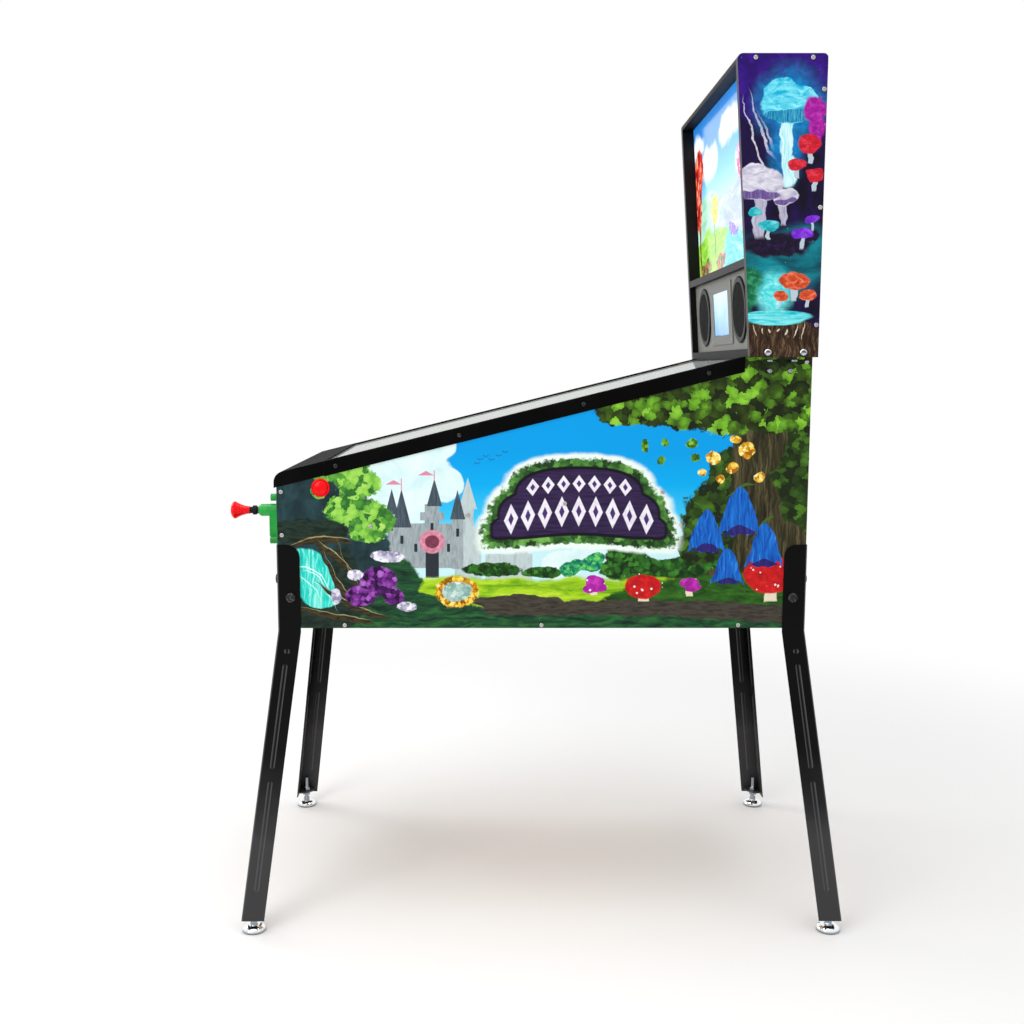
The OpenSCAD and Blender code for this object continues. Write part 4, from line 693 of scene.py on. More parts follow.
def seats(name, head):
    """For each bolt or screw of a node: the turn and place of its head's top, and its outward direction."""
    places = []
    for low, high in stations(name):
        size, middle = high - low, (low + high) / 2
        long = max(range(3), key=lambda i: size[i])
        out = Vector((0, 0, 0))
        out[long] = -1 if long == 2 else (1 if middle[long] > 0 else -1)
        top = middle + out * (size[long] / 2 - head)
        turn = out.to_track_quat("Z", "Y").to_matrix().to_4x4()
        places.append((Matrix.Translation(top) @ turn, size, middle))
    return places


head_bolt = round_bar("socket_head_bolt", 0.0095, 0, 0.0052)
pick(head_bolt, lambda c, n: n.z > 0.9)
bpy.ops.mesh.inset(thickness=0.002, depth=0.0008)
bpy.ops.mesh.inset(thickness=0.0028, depth=0)
push(0, 0, -0.003)
done()
ring_step(head_bolt, lambda c, n: n.z < -0.9 and c.z < 0.0001, 0.00475, -0.0235)
soften(head_bolt, 0.0006)
small_bolt = twin(head_bolt, "backbox_bolt")
small_bolt.data.transform(Matrix.Diagonal((14 / 19, 14 / 19, 1, 1)))
head_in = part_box("backbox_floor")[1].x
backbox_foot = 0.9
bolt_seats = seats("cabinet_bolts", 0.006)
# Oil-blacked steel: dark and half metallic, with paler rubbed spots
oxide = grained("black_oxide_steel", (300.0, 4.0), "0c0c0d 2a2a2c 6a6a6c", Metallic=0.7, Roughness=0.32)
leg_bolts = copies(head_bolt, [place for place, size, middle in bolt_seats if middle.z < backbox_foot])
fit(leg_bolts, oxide)
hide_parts("cabinet_bolts")
bracket_bolt = Matrix.Diagonal((0.72, 0.72, 1, 1))
backbox_bolts = copies(small_bolt, [
    place @ (bracket_bolt if abs(middle.x) < head_in and size.x > size.z else Matrix())
    for place, size, middle in bolt_seats if middle.z > backbox_foot])
fit(backbox_bolts, chrome)

screw = round_bar("cross_head_screw", 0.00425, 0, 0.0024, 20)
ring_step(screw, lambda c, n: n.z < -0.9, 0.00225, -0.014)
soften(screw, 0.0009, 3)
for turn in (0, 90):
    cut(screw, (-0.0024, -0.0005, 0.0012), (0.0024, 0.0005, 0.004), turn)
# Nickel plate: a warm bright grey, slightly dulled by handling
nickel = grained("nickel_plated_steel", (500.0, 3.0), "8d8b86 b9b7b2 d6d4cf", Metallic=1.0, Roughness=0.24)
screw_seats = [(place, size.y < size.x < 0.02) for place, size, middle in seats("panel_screws", 0.0024)]
rail_screw = twin(screw, "rail_screws")
screws = copies(screw, [place for place, on_rail in screw_seats if not on_rail])
fit(screws, nickel)
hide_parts("panel_screws")
fit(copies(rail_screw, [place for place, on_rail in screw_seats if on_rail]), oxide)

# ---- Side rails and lockbar ----
# Folded sheet steel with a satin black powder coat: the rails are screwed along the panels' upper
# edges, and the lockbar hooks across the front and holds the glass in.
# Satin powder coat: a soft black with hardly any shine and a fine orange peel
dress(grained("satin_black_powder_coat", (11.0, 5.0), "010101 040404 0b0b0c", (0.08, 0.0004, 520.0, 2.0),
              (0.55, 0.7), Roughness=0.6, Specular_IOR_Level=0.04),
      "side_rails", "lockbar", "door_frame", "service_door")

# ---- Glass and its channels ----
# A sheet of tempered glass that slides in black plastic channels. Seen flat on it is clear with a
# green tinge, at a low angle it mirrors the room, and nearly edge on it shows a thin film of dust.
# Extruded plastic: dull black with fine drawing lines along its length
dress(grained("extruded_black_pvc", (1.0, 3.0), "070707 0c0c0d 151516", (0.1, 0.0003), None, (900, 4, 900),
              Roughness=0.42, Specular_IOR_Level=0.15), "glass_channels")
pane = finish("tempered_glass", Transmission_Weight=1.0, IOR=1.5, Specular_IOR_Level=0.35)
shader.inputs["Base Color"].default_value = linear("e9f6f1")
film = add("TexNoise", {"Vector": add("TexCoord").outputs["Object"], "Scale": 6.0, "Detail": 6.0})
feed("Roughness", add("MapRange", {"Value": film, "To Min": 0.0, "To Max": 0.03}))
through = add("BsdfTransparent", {"Color": (0.9, 0.95, 0.93, 1)})
either = add("MixShader", {0: add("LightPath").outputs["Is Shadow Ray"], 1: shader, 2: through})
grazing = add("MapRange", {"Value": add("LayerWeight", {"Blend": 0.5}).outputs["Facing"], "From Min": 0.86,
                           "From Max": 0.99, "To Min": 0.0, "To Max": 0.6})
dusty = add("MixShader", {0: grazing, 1: either, 2: add("BsdfDiffuse", {"Color": linear("a3a8a4")})})
tree.links.new(dusty.outputs[0], tree.nodes["Material Output"].inputs["Surface"])
dress(pane, "playfield_glass")

# ---- Plunger ----
# A cast housing in green enamel is bolted to the front. A chromed rod runs through it, with a red
# plastic knob outside, rubber rings at its stops, and a coil of spring wire inside the cabinet.
# Baked enamel over a sand casting: a deep green gloss over a slightly pitted skin
dress(grained("green_enamelled_casting", (30.0, 3.0), "087a2a 10a03a 2cba55", (0.16, 0.0006, 180.0, 4.0),
              Roughness=0.28, Specular_IOR_Level=0.3, Coat_Weight=0.15, Coat_Roughness=0.12), "plunger_housing")
# Moulded plastic: an even saturated red with a soft sheen
red = grained("moulded_red_plastic", (120.0, 3.0), "d80008 f2000c fa0814", None, (0.12, 0.24), Roughness=0.16,
              Specular_IOR_Level=0.2)
dress(red, "plunger_knob", "button_sleeves", "flipper_button_right", "flipper_button_left", "power_switch")
# Moulded rubber: dull black with a chalky bloom
dress(grained("black_moulded_rubber", (240.0, 4.0), "0b0b0c 141415 212122", (0.2, 0.0004), Roughness=0.62,
              Specular_IOR_Level=0.15), "plunger_fittings")

low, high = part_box("plunger_spring")
spring_middle = (low + high) / 2
spring_long = high.y - low.y
coil_radius = (high.x - low.x) / 2
wire_radius = 0.00085
turns = 9
clear()
bpy.ops.mesh.primitive_circle_add(vertices=10, radius=wire_radius, location=(coil_radius - wire_radius, 0, 0),
                                  rotation=(math.radians(90), 0, 0))
spring = bpy.context.object
spring.name = "shooter_spring"
bpy.ops.object.transform_apply()
apply(spring, "SCREW", axis="Z", iterations=turns, steps=24, render_steps=24, use_merge_vertices=False,
      screw_offset=(spring_long - 2 * wire_radius) / turns)
lone(spring)
bpy.ops.object.mode_set(mode="EDIT")
bpy.ops.mesh.select_all(action="SELECT")
bpy.ops.mesh.fill_holes(sides=12)
bpy.ops.mesh.normals_make_consistent(inside=False)
done()
# Hard-drawn wire: bright metal with fine drawing marks
wire_steel = grained("bright_spring_wire", (700.0, 2.0), "8b8c8f b9babc d8d8d9", Metallic=1.0, Roughness=0.22)
spring_start = (spring_middle.x, low.y + wire_radius, spring_middle.z)
fit(spring, wire_steel,
    place=Matrix.Translation(spring_start) @ Matrix.Rotation(math.radians(-90), 4, "X"))
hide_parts("plunger_spring")
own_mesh(spring)

# ---- Buttons ----
# Glossy red moulded bezels with domed buttons on both sides, and a clear amber start button at the
# front. The leaf switches behind them are black phenolic.
# Clear tinted plastic: warm amber that glows faintly from the lamp inside
amber = grained("clear_amber_plastic", (90.0, 3.0), "e08a00 f5a50c ffc23c", Roughness=0.14,
                Transmission_Weight=0.25, IOR=1.49, Emission_Strength=0.25, Emission_Color=linear("ffb020"))
dress(amber, "start_button")
# Spark-textured moulding: near black with a fine matt grain
phenolic = grained("moulded_black_plastic", (800.0, 2.0), "090909 0f0f10 181819", (0.14, 0.0003), Roughness=0.45,
                   Specular_IOR_Level=0.18)
dress(phenolic, "button_switches", "power_inlet", "translite_bar")

# ---- Service door ----
# A steel door in a folded frame, hung on two pins, with two coin entries over their reject buttons,
# a blank price window, a return flap and a key lock in its face.
door_low, door_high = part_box("service_door")
lock_low, lock_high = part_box("door_lock")
door_proud = 0.003
door_face = front - door_proud
door_z = (door_low.z + door_high.z) / 2


def on_door(name, left, right, foot, top, stands, radius, segments=3, behind=0.0002):
    """A block on the door's face with rounded edges, between two places across and two up, that stands
    out from the face by a depth."""
    piece = block(name, (left, door_face - stands, door_z + foot), (right, door_face - behind, door_z + top))
    soften(piece, radius, segments)
    return piece


for x in (-0.055, 0.02):
    cheek = on_door("coin_entry", x - 0.014, x + 0.014, 0.012, 0.078, 0.0042, 0.003)
    pick(cheek, lambda c, n: n.y < -0.95 and c.z > door_z)
    bpy.ops.mesh.inset(thickness=0.0015, depth=0.0005)
    done()
    cut(cheek, (x - 0.0016, door_face - 0.006, door_z + 0.03), (x + 0.0016, door_face - 0.0012, door_z + 0.06))
    fit(cheek, chrome, "door")
    bezel = on_door("reject_bezel", x - 0.017, x + 0.017, -0.046, -0.004, 0.004, 0.0022)
    fit(bezel, phenolic, "door")
    lens = on_door("reject_button", x - 0.0125, x + 0.0125, -0.0415, -0.0085, 0.0078, 0.0016, behind=0.0038)
    fit(lens, red, "door")
flap_frame = on_door("return_cup_frame", -0.062, 0.028, -0.084, -0.056, 0.0038, 0.002)
pick(flap_frame, lambda c, n: n.y < -0.95)
bpy.ops.mesh.inset(thickness=0.004, depth=0)
push(0, 0.0026, 0)
done()
fit(flap_frame, chrome, "door")
key_slot = block("lock_keyway", (lock_low.x + 0.0115, lock_low.y - 0.0004, door_z - 0.005),
                 (lock_high.x - 0.0115, lock_low.y + 0.0004, door_z + 0.005))
apply(key_slot, "BEVEL", width=0.0003, segments=2)
fit(key_slot, phenolic, "lock")

# ---- Playfield board ----
# Maple ply with a printed picture under thick clear coat, and coloured plastic inserts let in flush
# where lamps shine through: a meadow path that winds up between the lanes to a lilac hill.
board_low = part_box("playfield_board")[0]
tilt = math.radians(6.8)
board_thick = 0.012
board = (Matrix.Translation((0, board_low.y, board_low.z + board_thick * math.cos(tilt)))
         @ Matrix.Rotation(tilt, 4, "X"))
centre = -0.017
printed_board = finish("printed_maple_clear_coated", Roughness=0.24, Specular_IOR_Level=0.3, Coat_Weight=0.25,
                       Coat_Roughness=0.06)
canvas((0.012, 2.0, 60), ("X", centre, 1000.0), ("Y", board_low.y, 1000 / math.cos(tilt)))
picture = brushed(loose, 36, "0f5a2c 2c8a2f 63b332 a8d83c", (1, 1.4))
for shapes, fill, soft, blend, edge in (
    (((0, 700, 250, 120), (-150, 620, 110, 90)), (30, "2a1466 5a2ca6 9a6ad8 d0b4f0"), 0.06, 0.2, (40, 0.3)),
    (((0, 330, 46, 120), (30, 450, 40, 80), (-20, 560, 36, 80), (10, 660, 26, 70)),
     (14, "8a5a24 c8923c f0c868 ffe6a0", (2, 0.8)), 0.05, 0.3, (26, 0.25)),
    (((-170, 420, 50, 160), (-190, 260, 40, 90), (190, 560, 34, 120)),
     (14, "046a8c 12a0c0 7adcec", (0.7, 3)), 0.06, 0.3, (26, 0.25)),
):
    layer(shapes, brushed(loose, *fill), soft, blend, edge, loose)
for shapes, code in (
    (((-60, 300, 9, 9), (-42, 322, 9, 9), (-20, 338, 9, 9), (4, 346, 9, 9), (28, 340, 9, 9), (50, 324, 9, 9),
      (66, 302, 9, 9)), "ffd23c"),
    (((0, 250, 14, 14), (0, 400, 11, 11), (-90, 440, 8, 14), (96, 440, 8, 14), (-128, 300, 7, 12),
      (128, 300, 7, 12)), "e83434"),
    (((-40, 466, 8, 13), (46, 466, 8, 13), (0, 490, 8, 13), (-70, 700, 8, 10), (-24, 700, 8, 10),
      (22, 700, 8, 10), (68, 700, 8, 10)), "f4f4f0"),
    (((-150, 540, 9, 14), (150, 480, 9, 14), (-176, 380, 8, 8), (-176, 404, 8, 8), (-176, 428, 8, 8)), "38b6f0"),
):
    layer(rounds(flat, [(y, v, a + 2.4, b + 2.4) for y, v, a, b in shapes]), "14110e", 0.04)
    layer(rounds(flat, shapes), code, 0.04)
upper = add("SeparateXYZ", {0: add("TexCoord").outputs["Normal"]})
face = add("Math", {0: upper.outputs["Z"], 1: 0.9}, operation="GREATER_THAN")
feed("Base Color", add("Mix", {0: face, 6: linear("c8a878"), 7: picture}, data_type="RGBA"))
dress(printed_board, "playfield_board")

# ---- Rails, arch and back board of the playfield ----
# Bent stainless strips stand on edge round the top of the board and along the shooter lane, and a
# painted board closes the back.


def line_of(name, points, kind, closed):
    """A curve through points given in metres."""
    clear()
    bpy.ops.curve.primitive_nurbs_path_add()
    piece = bpy.context.object
    piece.name = name
    piece.data.splines.clear()
    line = piece.data.splines.new(kind)
    line.points.add(len(points) - 1)
    for point, place in zip(line.points, points):
        point.co = (*place, 1)
    line.use_cyclic_u = closed
    return piece.data, line


def path(name, points, radius, band=0.0, closed=False, order=4):
    """A bent wire, or a strip standing on edge, through points given in metres."""
    curve, line = line_of(name, points, "NURBS", closed)
    line.order_u = order
    line.use_endpoint_u = not closed
    line.resolution_u = 5
    curve.dimensions = "3D"
    curve.twist_mode = "Z_UP"
    curve.bevel_depth = radius
    curve.bevel_resolution = 2
    curve.extrude = band / 2
    curve.use_fill_caps = True
    bpy.ops.object.convert(target="MESH")
    return bpy.context.object


def arc(start, end, step, radius=1.0):
    """Across and up of points on a circle, from one angle in degrees to before another."""
    return [(radius * math.cos(a), radius * math.sin(a)) for a in map(math.radians, range(start, end, step))]


# Brushed stainless: a soft metal sheen with fine lines along the strip
stainless = grained("brushed_stainless_strip", (1.0, 4.0), "9a9c9e bfc1c2 dcdddd", None, None, (40, 40, 900),
                    Metallic=1.0, Roughness=0.26)
arch = [(0.256, 0.19, 0.016), (0.256, 0.62, 0.016)]
arch += [(0.256 * x, 0.64 + 0.142 * v, 0.016) for x, v in arc(5, 180, 12)]
arch += [(-0.256, 0.62, 0.016), (-0.256, 0.46, 0.016)]
fit(path("top_arch", arch, 0.0005, 0.03), stainless, place=board)
lane = [(x, v, 0.014) for x, v in ((0.2075, 0.182), (0.2075, 0.4), (0.2075, 0.58), (0.202, 0.63), (0.19, 0.66))]
fit(path("shooter_lane_rail", lane, 0.0008, 0.026), stainless, place=board)
back_board = block("playfield_back_board", (-0.256, 0.786, 0.0005), (0.256, 0.794, 0.11))
apply(back_board, "BEVEL", width=0.0015, segments=2)
hills = finish("printed_back_board", Roughness=0.4)
canvas()
picture = brushed(flat, 30, "0a1a4a 123a8a 2c6ad0", (2, 1))
layer(rounds(flat, ((-120, 900, 120, 70), (60, 890, 140, 60), (210, 910, 80, 60)), 0.2),
      leafy(flat, 14, "0d3a18 1f6a26 4aa83c"), 0.05, edge=(20, 0.3))
feed("Base Color", picture)
fit(back_board, hills, place=board)

# ---- Posts, rubbers and plastics ----
# Nickel posts with a waist hold white rubber rings, and printed clear plastics are screwed on their
# tops over the slingshots and the side lanes.
post = round_bar("post", 0.0042, 0, 0.006, 16)
ring_step(post, lambda c, n: n.z > 0.9, 0.0012, 0.014)
pick(post, lambda c, n: n.z > 0.9)
push(0, 0, 0.001)
bpy.ops.transform.resize(value=(1.5, 1.5, 1))
push(0, 0, 0.005)
bpy.ops.mesh.inset(thickness=0.0012, depth=0.001)
done()
soften(post, 0.0005)
slings = [[(centre + s * 0.098, 0.3), (centre + s * 0.098, 0.4), (centre + s * 0.064, 0.278)] for s in (-1, 1)]
islands = [[(-0.236, 0.5), (-0.236, 0.58)], [(-0.21, 0.64), (-0.17, 0.7)], [(0.15, 0.6), (0.185, 0.55)],
           [(0.185, 0.42), (0.185, 0.35)], [(-0.236, 0.33), (-0.236, 0.26)], [(0.1, 0.7), (0.145, 0.68)]]
clear_of_board = 0.0003
fit(copies(post, [Matrix.Translation((x, v, clear_of_board)) for group in slings + islands for x, v in group]),
    nickel, place=board)


def round_group(group, reach):
    """Points of a loop that passes round a group of posts at a distance."""
    middle = sum((Vector(p) for p in group), Vector((0, 0))) / len(group)
    loop = []
    for i, point in enumerate(group):
        point = Vector(point)
        if len(group) == 2:
            out = (point - middle).normalized()
            side = Vector((-out.y, out.x))
            loop += [point + side * reach, point + (out + side * 0.55) * reach, point + (out - side * 0.55) * reach,
                     point - side * reach]
        else:
            for other in (Vector(group[i - 1]), Vector(group[(i + 1) % len(group)])):
                along = (point - other).normalized()
                side = Vector((-along.y, along.x))
                side = side if side.dot(point - middle) > 0 else -side
                loop.append(point + side * reach + along * reach * 0.3)
    return loop


def plate(name, outline, radius, low, thick):
    """A flat plate cut to an outline with rounded corners, lying at a height above the board."""
    line = []
    for i, point in enumerate(outline):
        point, before, after = Vector(point), Vector(outline[i - 1]), Vector(outline[(i + 1) % len(outline)])
        start = point + (before - point).normalized() * radius
        end = point + (after - point).normalized() * radius
        for t in (k / 5 for k in range(6)):
            line.append((*((1 - t) ** 2 * start + 2 * t * (1 - t) * point + t ** 2 * end), 0))
    curve, line = line_of(name, line, "POLY", True)
    curve.dimensions = "2D"
    curve.fill_mode = "BOTH"
    curve.extrude = thick / 2
    bpy.ops.object.convert(target="MESH")
    piece = bpy.context.object
    apply(piece, "WELD", merge_threshold=0.00001)
    piece.data.transform(Matrix.Translation((0, 0, low + thick / 2)))
    return piece


# Natural white rubber: matt and slightly grimy
white_rubber = grained("white_rubber_ring", (60.0, 4.0), "cfcac0 e0dcd4 e8e6e0", Roughness=0.5)
rings = [path("rubber", [(p.x, p.y, 0.012) for p in round_group(group, 0.0048)], 0.0019, closed=True, order=3)
         for group in slings + islands]
fit(joined("rubber_rings", rings), white_rubber, place=board)
# Clear sheet printed underneath: bright leafy colours under a hard gloss
printed = finish("printed_clear_plastic", Roughness=0.1, Coat_Weight=0.5, Coat_Roughness=0.05)
flat = add("VectorMath", {0: add("TexCoord").outputs["Object"], 1: (1000, 1000, 0)}, operation="MULTIPLY")
feed("Base Color", leafy(flat, 24, "b81f2a f0882c ffd84c 3fa8e0 6a3cc0"))
outlines = [[(x + (x - centre) * 0.07, v + (0.008 if v > 0.35 else -0.008)) for x, v in group] for group in slings]
for start, end in islands:
    start, end = Vector(start), Vector(end)
    along = (end - start).normalized() * 0.013
    side = Vector((-along.y, along.x))
    outlines.append([start - along - side, end + along - side, end + along + side, start - along + side])
covers = [plate("plastic", outline, 0.008, 0.0285, 0.0015) for outline in outlines]
fit(joined("printed_plastics", covers), printed, place=board)

# ---- Lane guides, targets and ramp ----
# Clear red guides part the return lanes, white targets stand in their banks, and a blue plastic ramp
# climbs to a pair of steel wires that bring the ball back to the left lane.
# Clear moulded plastic: deep red, partly see-through
guide_red = grained("clear_red_plastic", (60.0, 2.0), "b00612 d8101e f03040", Roughness=0.1,
                    Transmission_Weight=0.35, IOR=1.49)
guides = []
for s in (-1, 1):
    x = centre + s * 0.135
    bend = ((x, 0.4), (x, 0.34), (x, 0.285), (x - s * 0.006, 0.275), (x - s * 0.03, 0.256))
    guides.append(path("guide", [(*spot, 0.009) for spot in bend], 0.0018, 0.012, order=3))
for x in (-0.11, -0.064, -0.018, 0.028, 0.074):
    guides.append(path("guide", [(x, 0.684, 0.009), (x, 0.7, 0.009), (x, 0.716, 0.009)], 0.003, 0.01))
fit(joined("lane_guides", guides), guide_red, place=board)

target = block("target", (-0.0105, -0.0012, 0.0008), (0.0105, 0.0012, 0.03))
apply(target, "BEVEL", width=0.0009, segments=3)
banks = [Matrix.Translation((x, v + 0.024 * i, 0)) @ Matrix.Rotation(math.radians(turn), 4, "Z")
         for x, v, turn, count in ((-0.19, 0.39, 90, 3), (0.168, 0.462, 100, 2)) for i in range(count)]
fit(copies(target, banks), white_rubber, place=board)

# Vacuum-formed sheet: glossy pale blue that lets light through
ramp_blue = grained("vacuum_formed_blue_plastic", (30.0, 3.0), "3f9fe0 6fc0f0 a8dcf8", Roughness=0.12,
                    Transmission_Weight=0.55, IOR=1.49)
ramp_long, ramp_rise = 0.25, 0.062
ramp = block("ramp", (-0.021, 0, 0.001), (0.021, ramp_long, 0.004))
apply(ramp, "BEVEL", width=0.0006, segments=1)
pick(ramp, lambda c, n: n.z > 0.9)
bpy.ops.mesh.subdivide(number_cuts=9)
for step in range(1, 12):
    bpy.ops.mesh.select_all(action="SELECT")
    bpy.ops.mesh.bisect(plane_co=(0, step * 0.0208, 0), plane_no=(0, 1, 0))
done()
pick(ramp, lambda c, n: n.z > 0.9 and abs(c.x) > 0.0185)
push(0, 0, 0.024)
done()
for vertex in ramp.data.vertices:
    t = min(max(vertex.co.y / ramp_long, 0), 1)
    vertex.co.z += ramp_rise * t * t * (3 - 2 * t)
    vertex.co.x += -0.03 * t * t
ramp.data.transform(Matrix.Translation((0.1, 0.49, 0)))
fit(ramp, ramp_blue, place=board)
wires = []
for off in (-0.011, 0.011):
    wires.append(path("wire", [
        (0.07 + off, 0.735, 0.068), (0.065 + off, 0.757 + off, 0.068), (0.03, 0.768 + off, 0.068),
        (-0.06, 0.77 + off, 0.067), (-0.16, 0.762 + off, 0.066), (-0.212 - off * 0.7, 0.73 + off * 0.7, 0.064),
        (-0.226 - off, 0.66, 0.06), (-0.226 - off, 0.55, 0.054), (-0.22 - off, 0.47, 0.048),
        (-0.198 - off, 0.42, 0.04), (-0.19 - off, 0.36, 0.034), (-0.19 - off, 0.33, 0.032)], 0.0016))
for x, v, w, turn in ((0.02, 0.769, 0.066, 90), (-0.07, 0.77, 0.065, 90), (-0.15, 0.764, 0.064, 80),
                      (-0.226, 0.66, 0.058, 0), (-0.226, 0.57, 0.053, 0), (-0.221, 0.48, 0.046, 0),
                      (-0.192, 0.38, 0.034, 0)):
    hoop = path("hoop", [(x_off, 0, up + 0.006) for x_off, up in arc(-205, 26, 23, 0.013)], 0.0012)
    hoop.data.transform(Matrix.Translation((x, v, w)) @ Matrix.Rotation(math.radians(turn), 4, "Z"))
    wires.append(hoop)
for x, v, w in ((-0.226, 0.62, 0.054), (-0.05, 0.772, 0.06), (-0.205, 0.44, 0.036)):
    wires.append(path("stay", [(x, v, 0.0005), (x, v, w * 0.5), (x, v, w)], 0.0016))
fit(joined("wire_return", wires), chrome, place=board)

# ---- Bumpers, flippers, apron and balls ----
# Three bumpers with printed caps and steel rings, a pair of white bats with red rubber bands, and a
# dark blue sheet steel apron with two blank card holders over the ball trough.
# Moulded plastic: a warm off-white with a soft gloss
dress(grained("moulded_ivory_plastic", (80.0, 3.0), "cfc9b8 ddd8c9 e6e2d6", Roughness=0.3),
      "pop_bumpers", "flipper_left", "flipper_right")
steel_rings = []
for x, v, code in ((centre - 0.088, 0.52, "d81424"), (centre + 0.04, 0.52, "f2b416"),
                   (centre - 0.024, 0.61, "1c78d8")):
    cap = round_bar("bumper_cap", 0.0372, 0.0375, 0.0425, 40)
    pick(cap, lambda c, n: n.z > 0.9)
    for inset, rise in ((0.006, 0.0035), (0.012, 0.0015), (0.008, 0.0008)):
        bpy.ops.mesh.inset(thickness=inset, depth=rise)
    done()
    soften(cap, 0.0008, angle=25)
    # The caps' faint glow is painted light, standing in for the lamps under them
    cap_plastic = finish("printed_cap_" + code, Roughness=0.1, Coat_Weight=0.5, Emission_Strength=0.12)
    local = add("VectorMath", {0: add("TexCoord").outputs["Object"], 1: tuple(board @ Vector((x, v, 0.045)))},
                operation="SUBTRACT")
    parts = add("SeparateXYZ", {0: local})
    bearing = add("Math", {0: parts.outputs["Y"], 1: parts.outputs["X"]}, operation="ARCTAN2")
    rays = add("Math", {0: add("Math", {0: bearing, 1: 9.0}, operation="MULTIPLY")}, operation="SINE")
    rays = add("Math", {0: rays, 1: 0.0}, operation="GREATER_THAN")
    hub = add("Math", {0: add("VectorMath", {0: local}, operation="LENGTH"), 1: 0.012}, operation="LESS_THAN")
    sunny = add("Mix", {0: rays, 6: linear(code), 7: linear("f6f0dc")}, data_type="RGBA")
    sunny = add("Mix", {0: hub, 6: sunny, 7: linear(code)}, data_type="RGBA")
    feed("Base Color", sunny)
    feed("Emission Color", sunny)
    cap.data.transform(Matrix.Translation((x, v, 0.0045)))
    fit(cap, cap_plastic, place=board)
    loop = [(x + u, v + w, 0.024) for u, w in arc(0, 360, 15, 0.031)]
    steel_rings.append(path("ring", loop, 0.0016, closed=True))
fit(joined("bumper_rings", steel_rings), stainless, place=board)

# Live red rubber: satin, a little dirtied by the ball
red_rubber = grained("red_rubber_band", (90.0, 4.0), "9c0c12 c01218 d81c22", Roughness=0.48,
                     Specular_IOR_Level=0.35)
bat_long, bat_root, bat_tip, band_off = 0.068, 0.012, 0.0065, 0.0008
bat_turn = math.radians(-30)
pivot_out, pivot_up = 0.0894, 0.235
drop = math.degrees(math.asin((bat_root - bat_tip) / bat_long))
for side, name in ((-1, "left"), (1, "right")):
    band = []
    for start, end, along, r in ((90 - drop, 270 + drop, 0, bat_root), (-90 + drop, 90 - drop, bat_long, bat_tip)):
        for k in range(9):
            a = math.radians(start + (end - start) * k / 8)
            u, w = along + (r + band_off) * math.cos(a), (r + band_off) * math.sin(a)
            band.append((centre - side * (u * math.cos(bat_turn) - w * math.sin(bat_turn) - pivot_out),
                         pivot_up + u * math.sin(bat_turn) + w * math.cos(bat_turn), 0.016))
    fit(path("flipper_rubber_" + name, band, 0.0011, 0.0095, closed=True, order=3), red_rubber,
        name + "_flipper", place=board)

# Stoved enamel on sheet steel: dark mottled blue under a gloss
dress(grained("dark_blue_enamelled_steel", (26.0, 5.0), "0a1030 111a46 1c2a66", Roughness=0.3, Coat_Weight=0.3,
              Coat_Roughness=0.1), "apron")
# Blank card in a clear sleeve: cream, with a faint fibre
paper_card = grained("plain_card_in_clear_sleeve", (400.0, 3.0), "d6d0be e2ddcd e8e4d8", Roughness=0.25)
card_wide, card_foot, card_top = 0.12, 0.03, 0.088
cards = []
for x in (centre - 0.12, centre + 0.11):
    left, right = x - card_wide / 2, x + card_wide / 2
    outline = [(left, card_foot), (right, card_foot), (right, card_top), (left, card_top)]
    cards.append(plate("card", outline, 0.004, 0.0418, 0.001))
fit(joined("apron_cards", cards), paper_card, place=board)

# Ground and polished steel: a mirror with faint scuffs
ball = finish("polished_steel_ball", Metallic=1.0, Roughness=0.04, Base_Color=linear("d6d7d9"))
scuff = add("TexNoise", {"Vector": add("TexCoord").outputs["Object"], "Scale": 260.0, "Detail": 4.0})
feed("Roughness", add("MapRange", {"Value": scuff, "To Min": 0.02, "To Max": 0.1}))
dress(ball, "steel_balls")

# Small lamps beside the lanes, glowing warm
bulb = round_bar("bulb", 0.0046, 0, 0.006, 16)
ring_step(bulb, lambda c, n: n.z > 0.9, 0.0008, 0.0075)
soften(bulb, 0.0018, 3)
warm = finish("lit_glass_lamp", Roughness=0.1, Emission_Strength=0.8)
glow = add("TexNoise", {"Vector": add("TexCoord").outputs["Object"], "Scale": 200.0})
glow = tones(glow, "ffe0a0 fff0c8 fff6e0")
feed("Base Color", glow)
feed("Emission Color", glow)
lamp_spots = [(x, 0.31) for x in (centre - 0.088, centre + 0.088)] + [(x, 0.74) for x in (-0.2, 0.12, 0.2)]
lamp_spots += [(-0.243, v) for v in (0.3, 0.54, 0.6)] + [(0.196, v) for v in (0.3, 0.45, 0.54)]
lamp_spots += [(centre - 0.09, 0.62), (0.08, 0.6), (-0.13, 0.47)]
fit(copies(bulb, [Matrix.Translation((x, v, clear_of_board)) for x, v in lamp_spots]), warm,
    place=board)

# ---- Coils, boards and supply inside the cabinet ----
# Copper-wound coils in steel frames under the board, and a green circuit board with fine tracks.
# Enamelled copper wire: a coppery sheen in fine turns
dress(grained("wound_coil_and_frame", (1.0, 2.0), "6a3a1a a8622c d89050", None, None, (60, 1400, 60), Metallic=0.8,
              Roughness=0.4), "flipper_coils")
# Solder mask over glass fibre: glossy green with paler tracks
laminate = finish("green_solder_mask_laminate", Roughness=0.3, Coat_Weight=0.3)
place = add("VectorMath", {0: add("TexCoord").outputs["Object"], 1: (1000, 0, 1000)}, operation="MULTIPLY")
feed("Base Color", add("TexBrick", {"Vector": place, "Color1": linear("0c5a2c"), "Color2": linear("0a4a24"),
                                    "Mortar": linear("2c8a4c"), "Scale": 0.12}))
dress(laminate, "control_board")

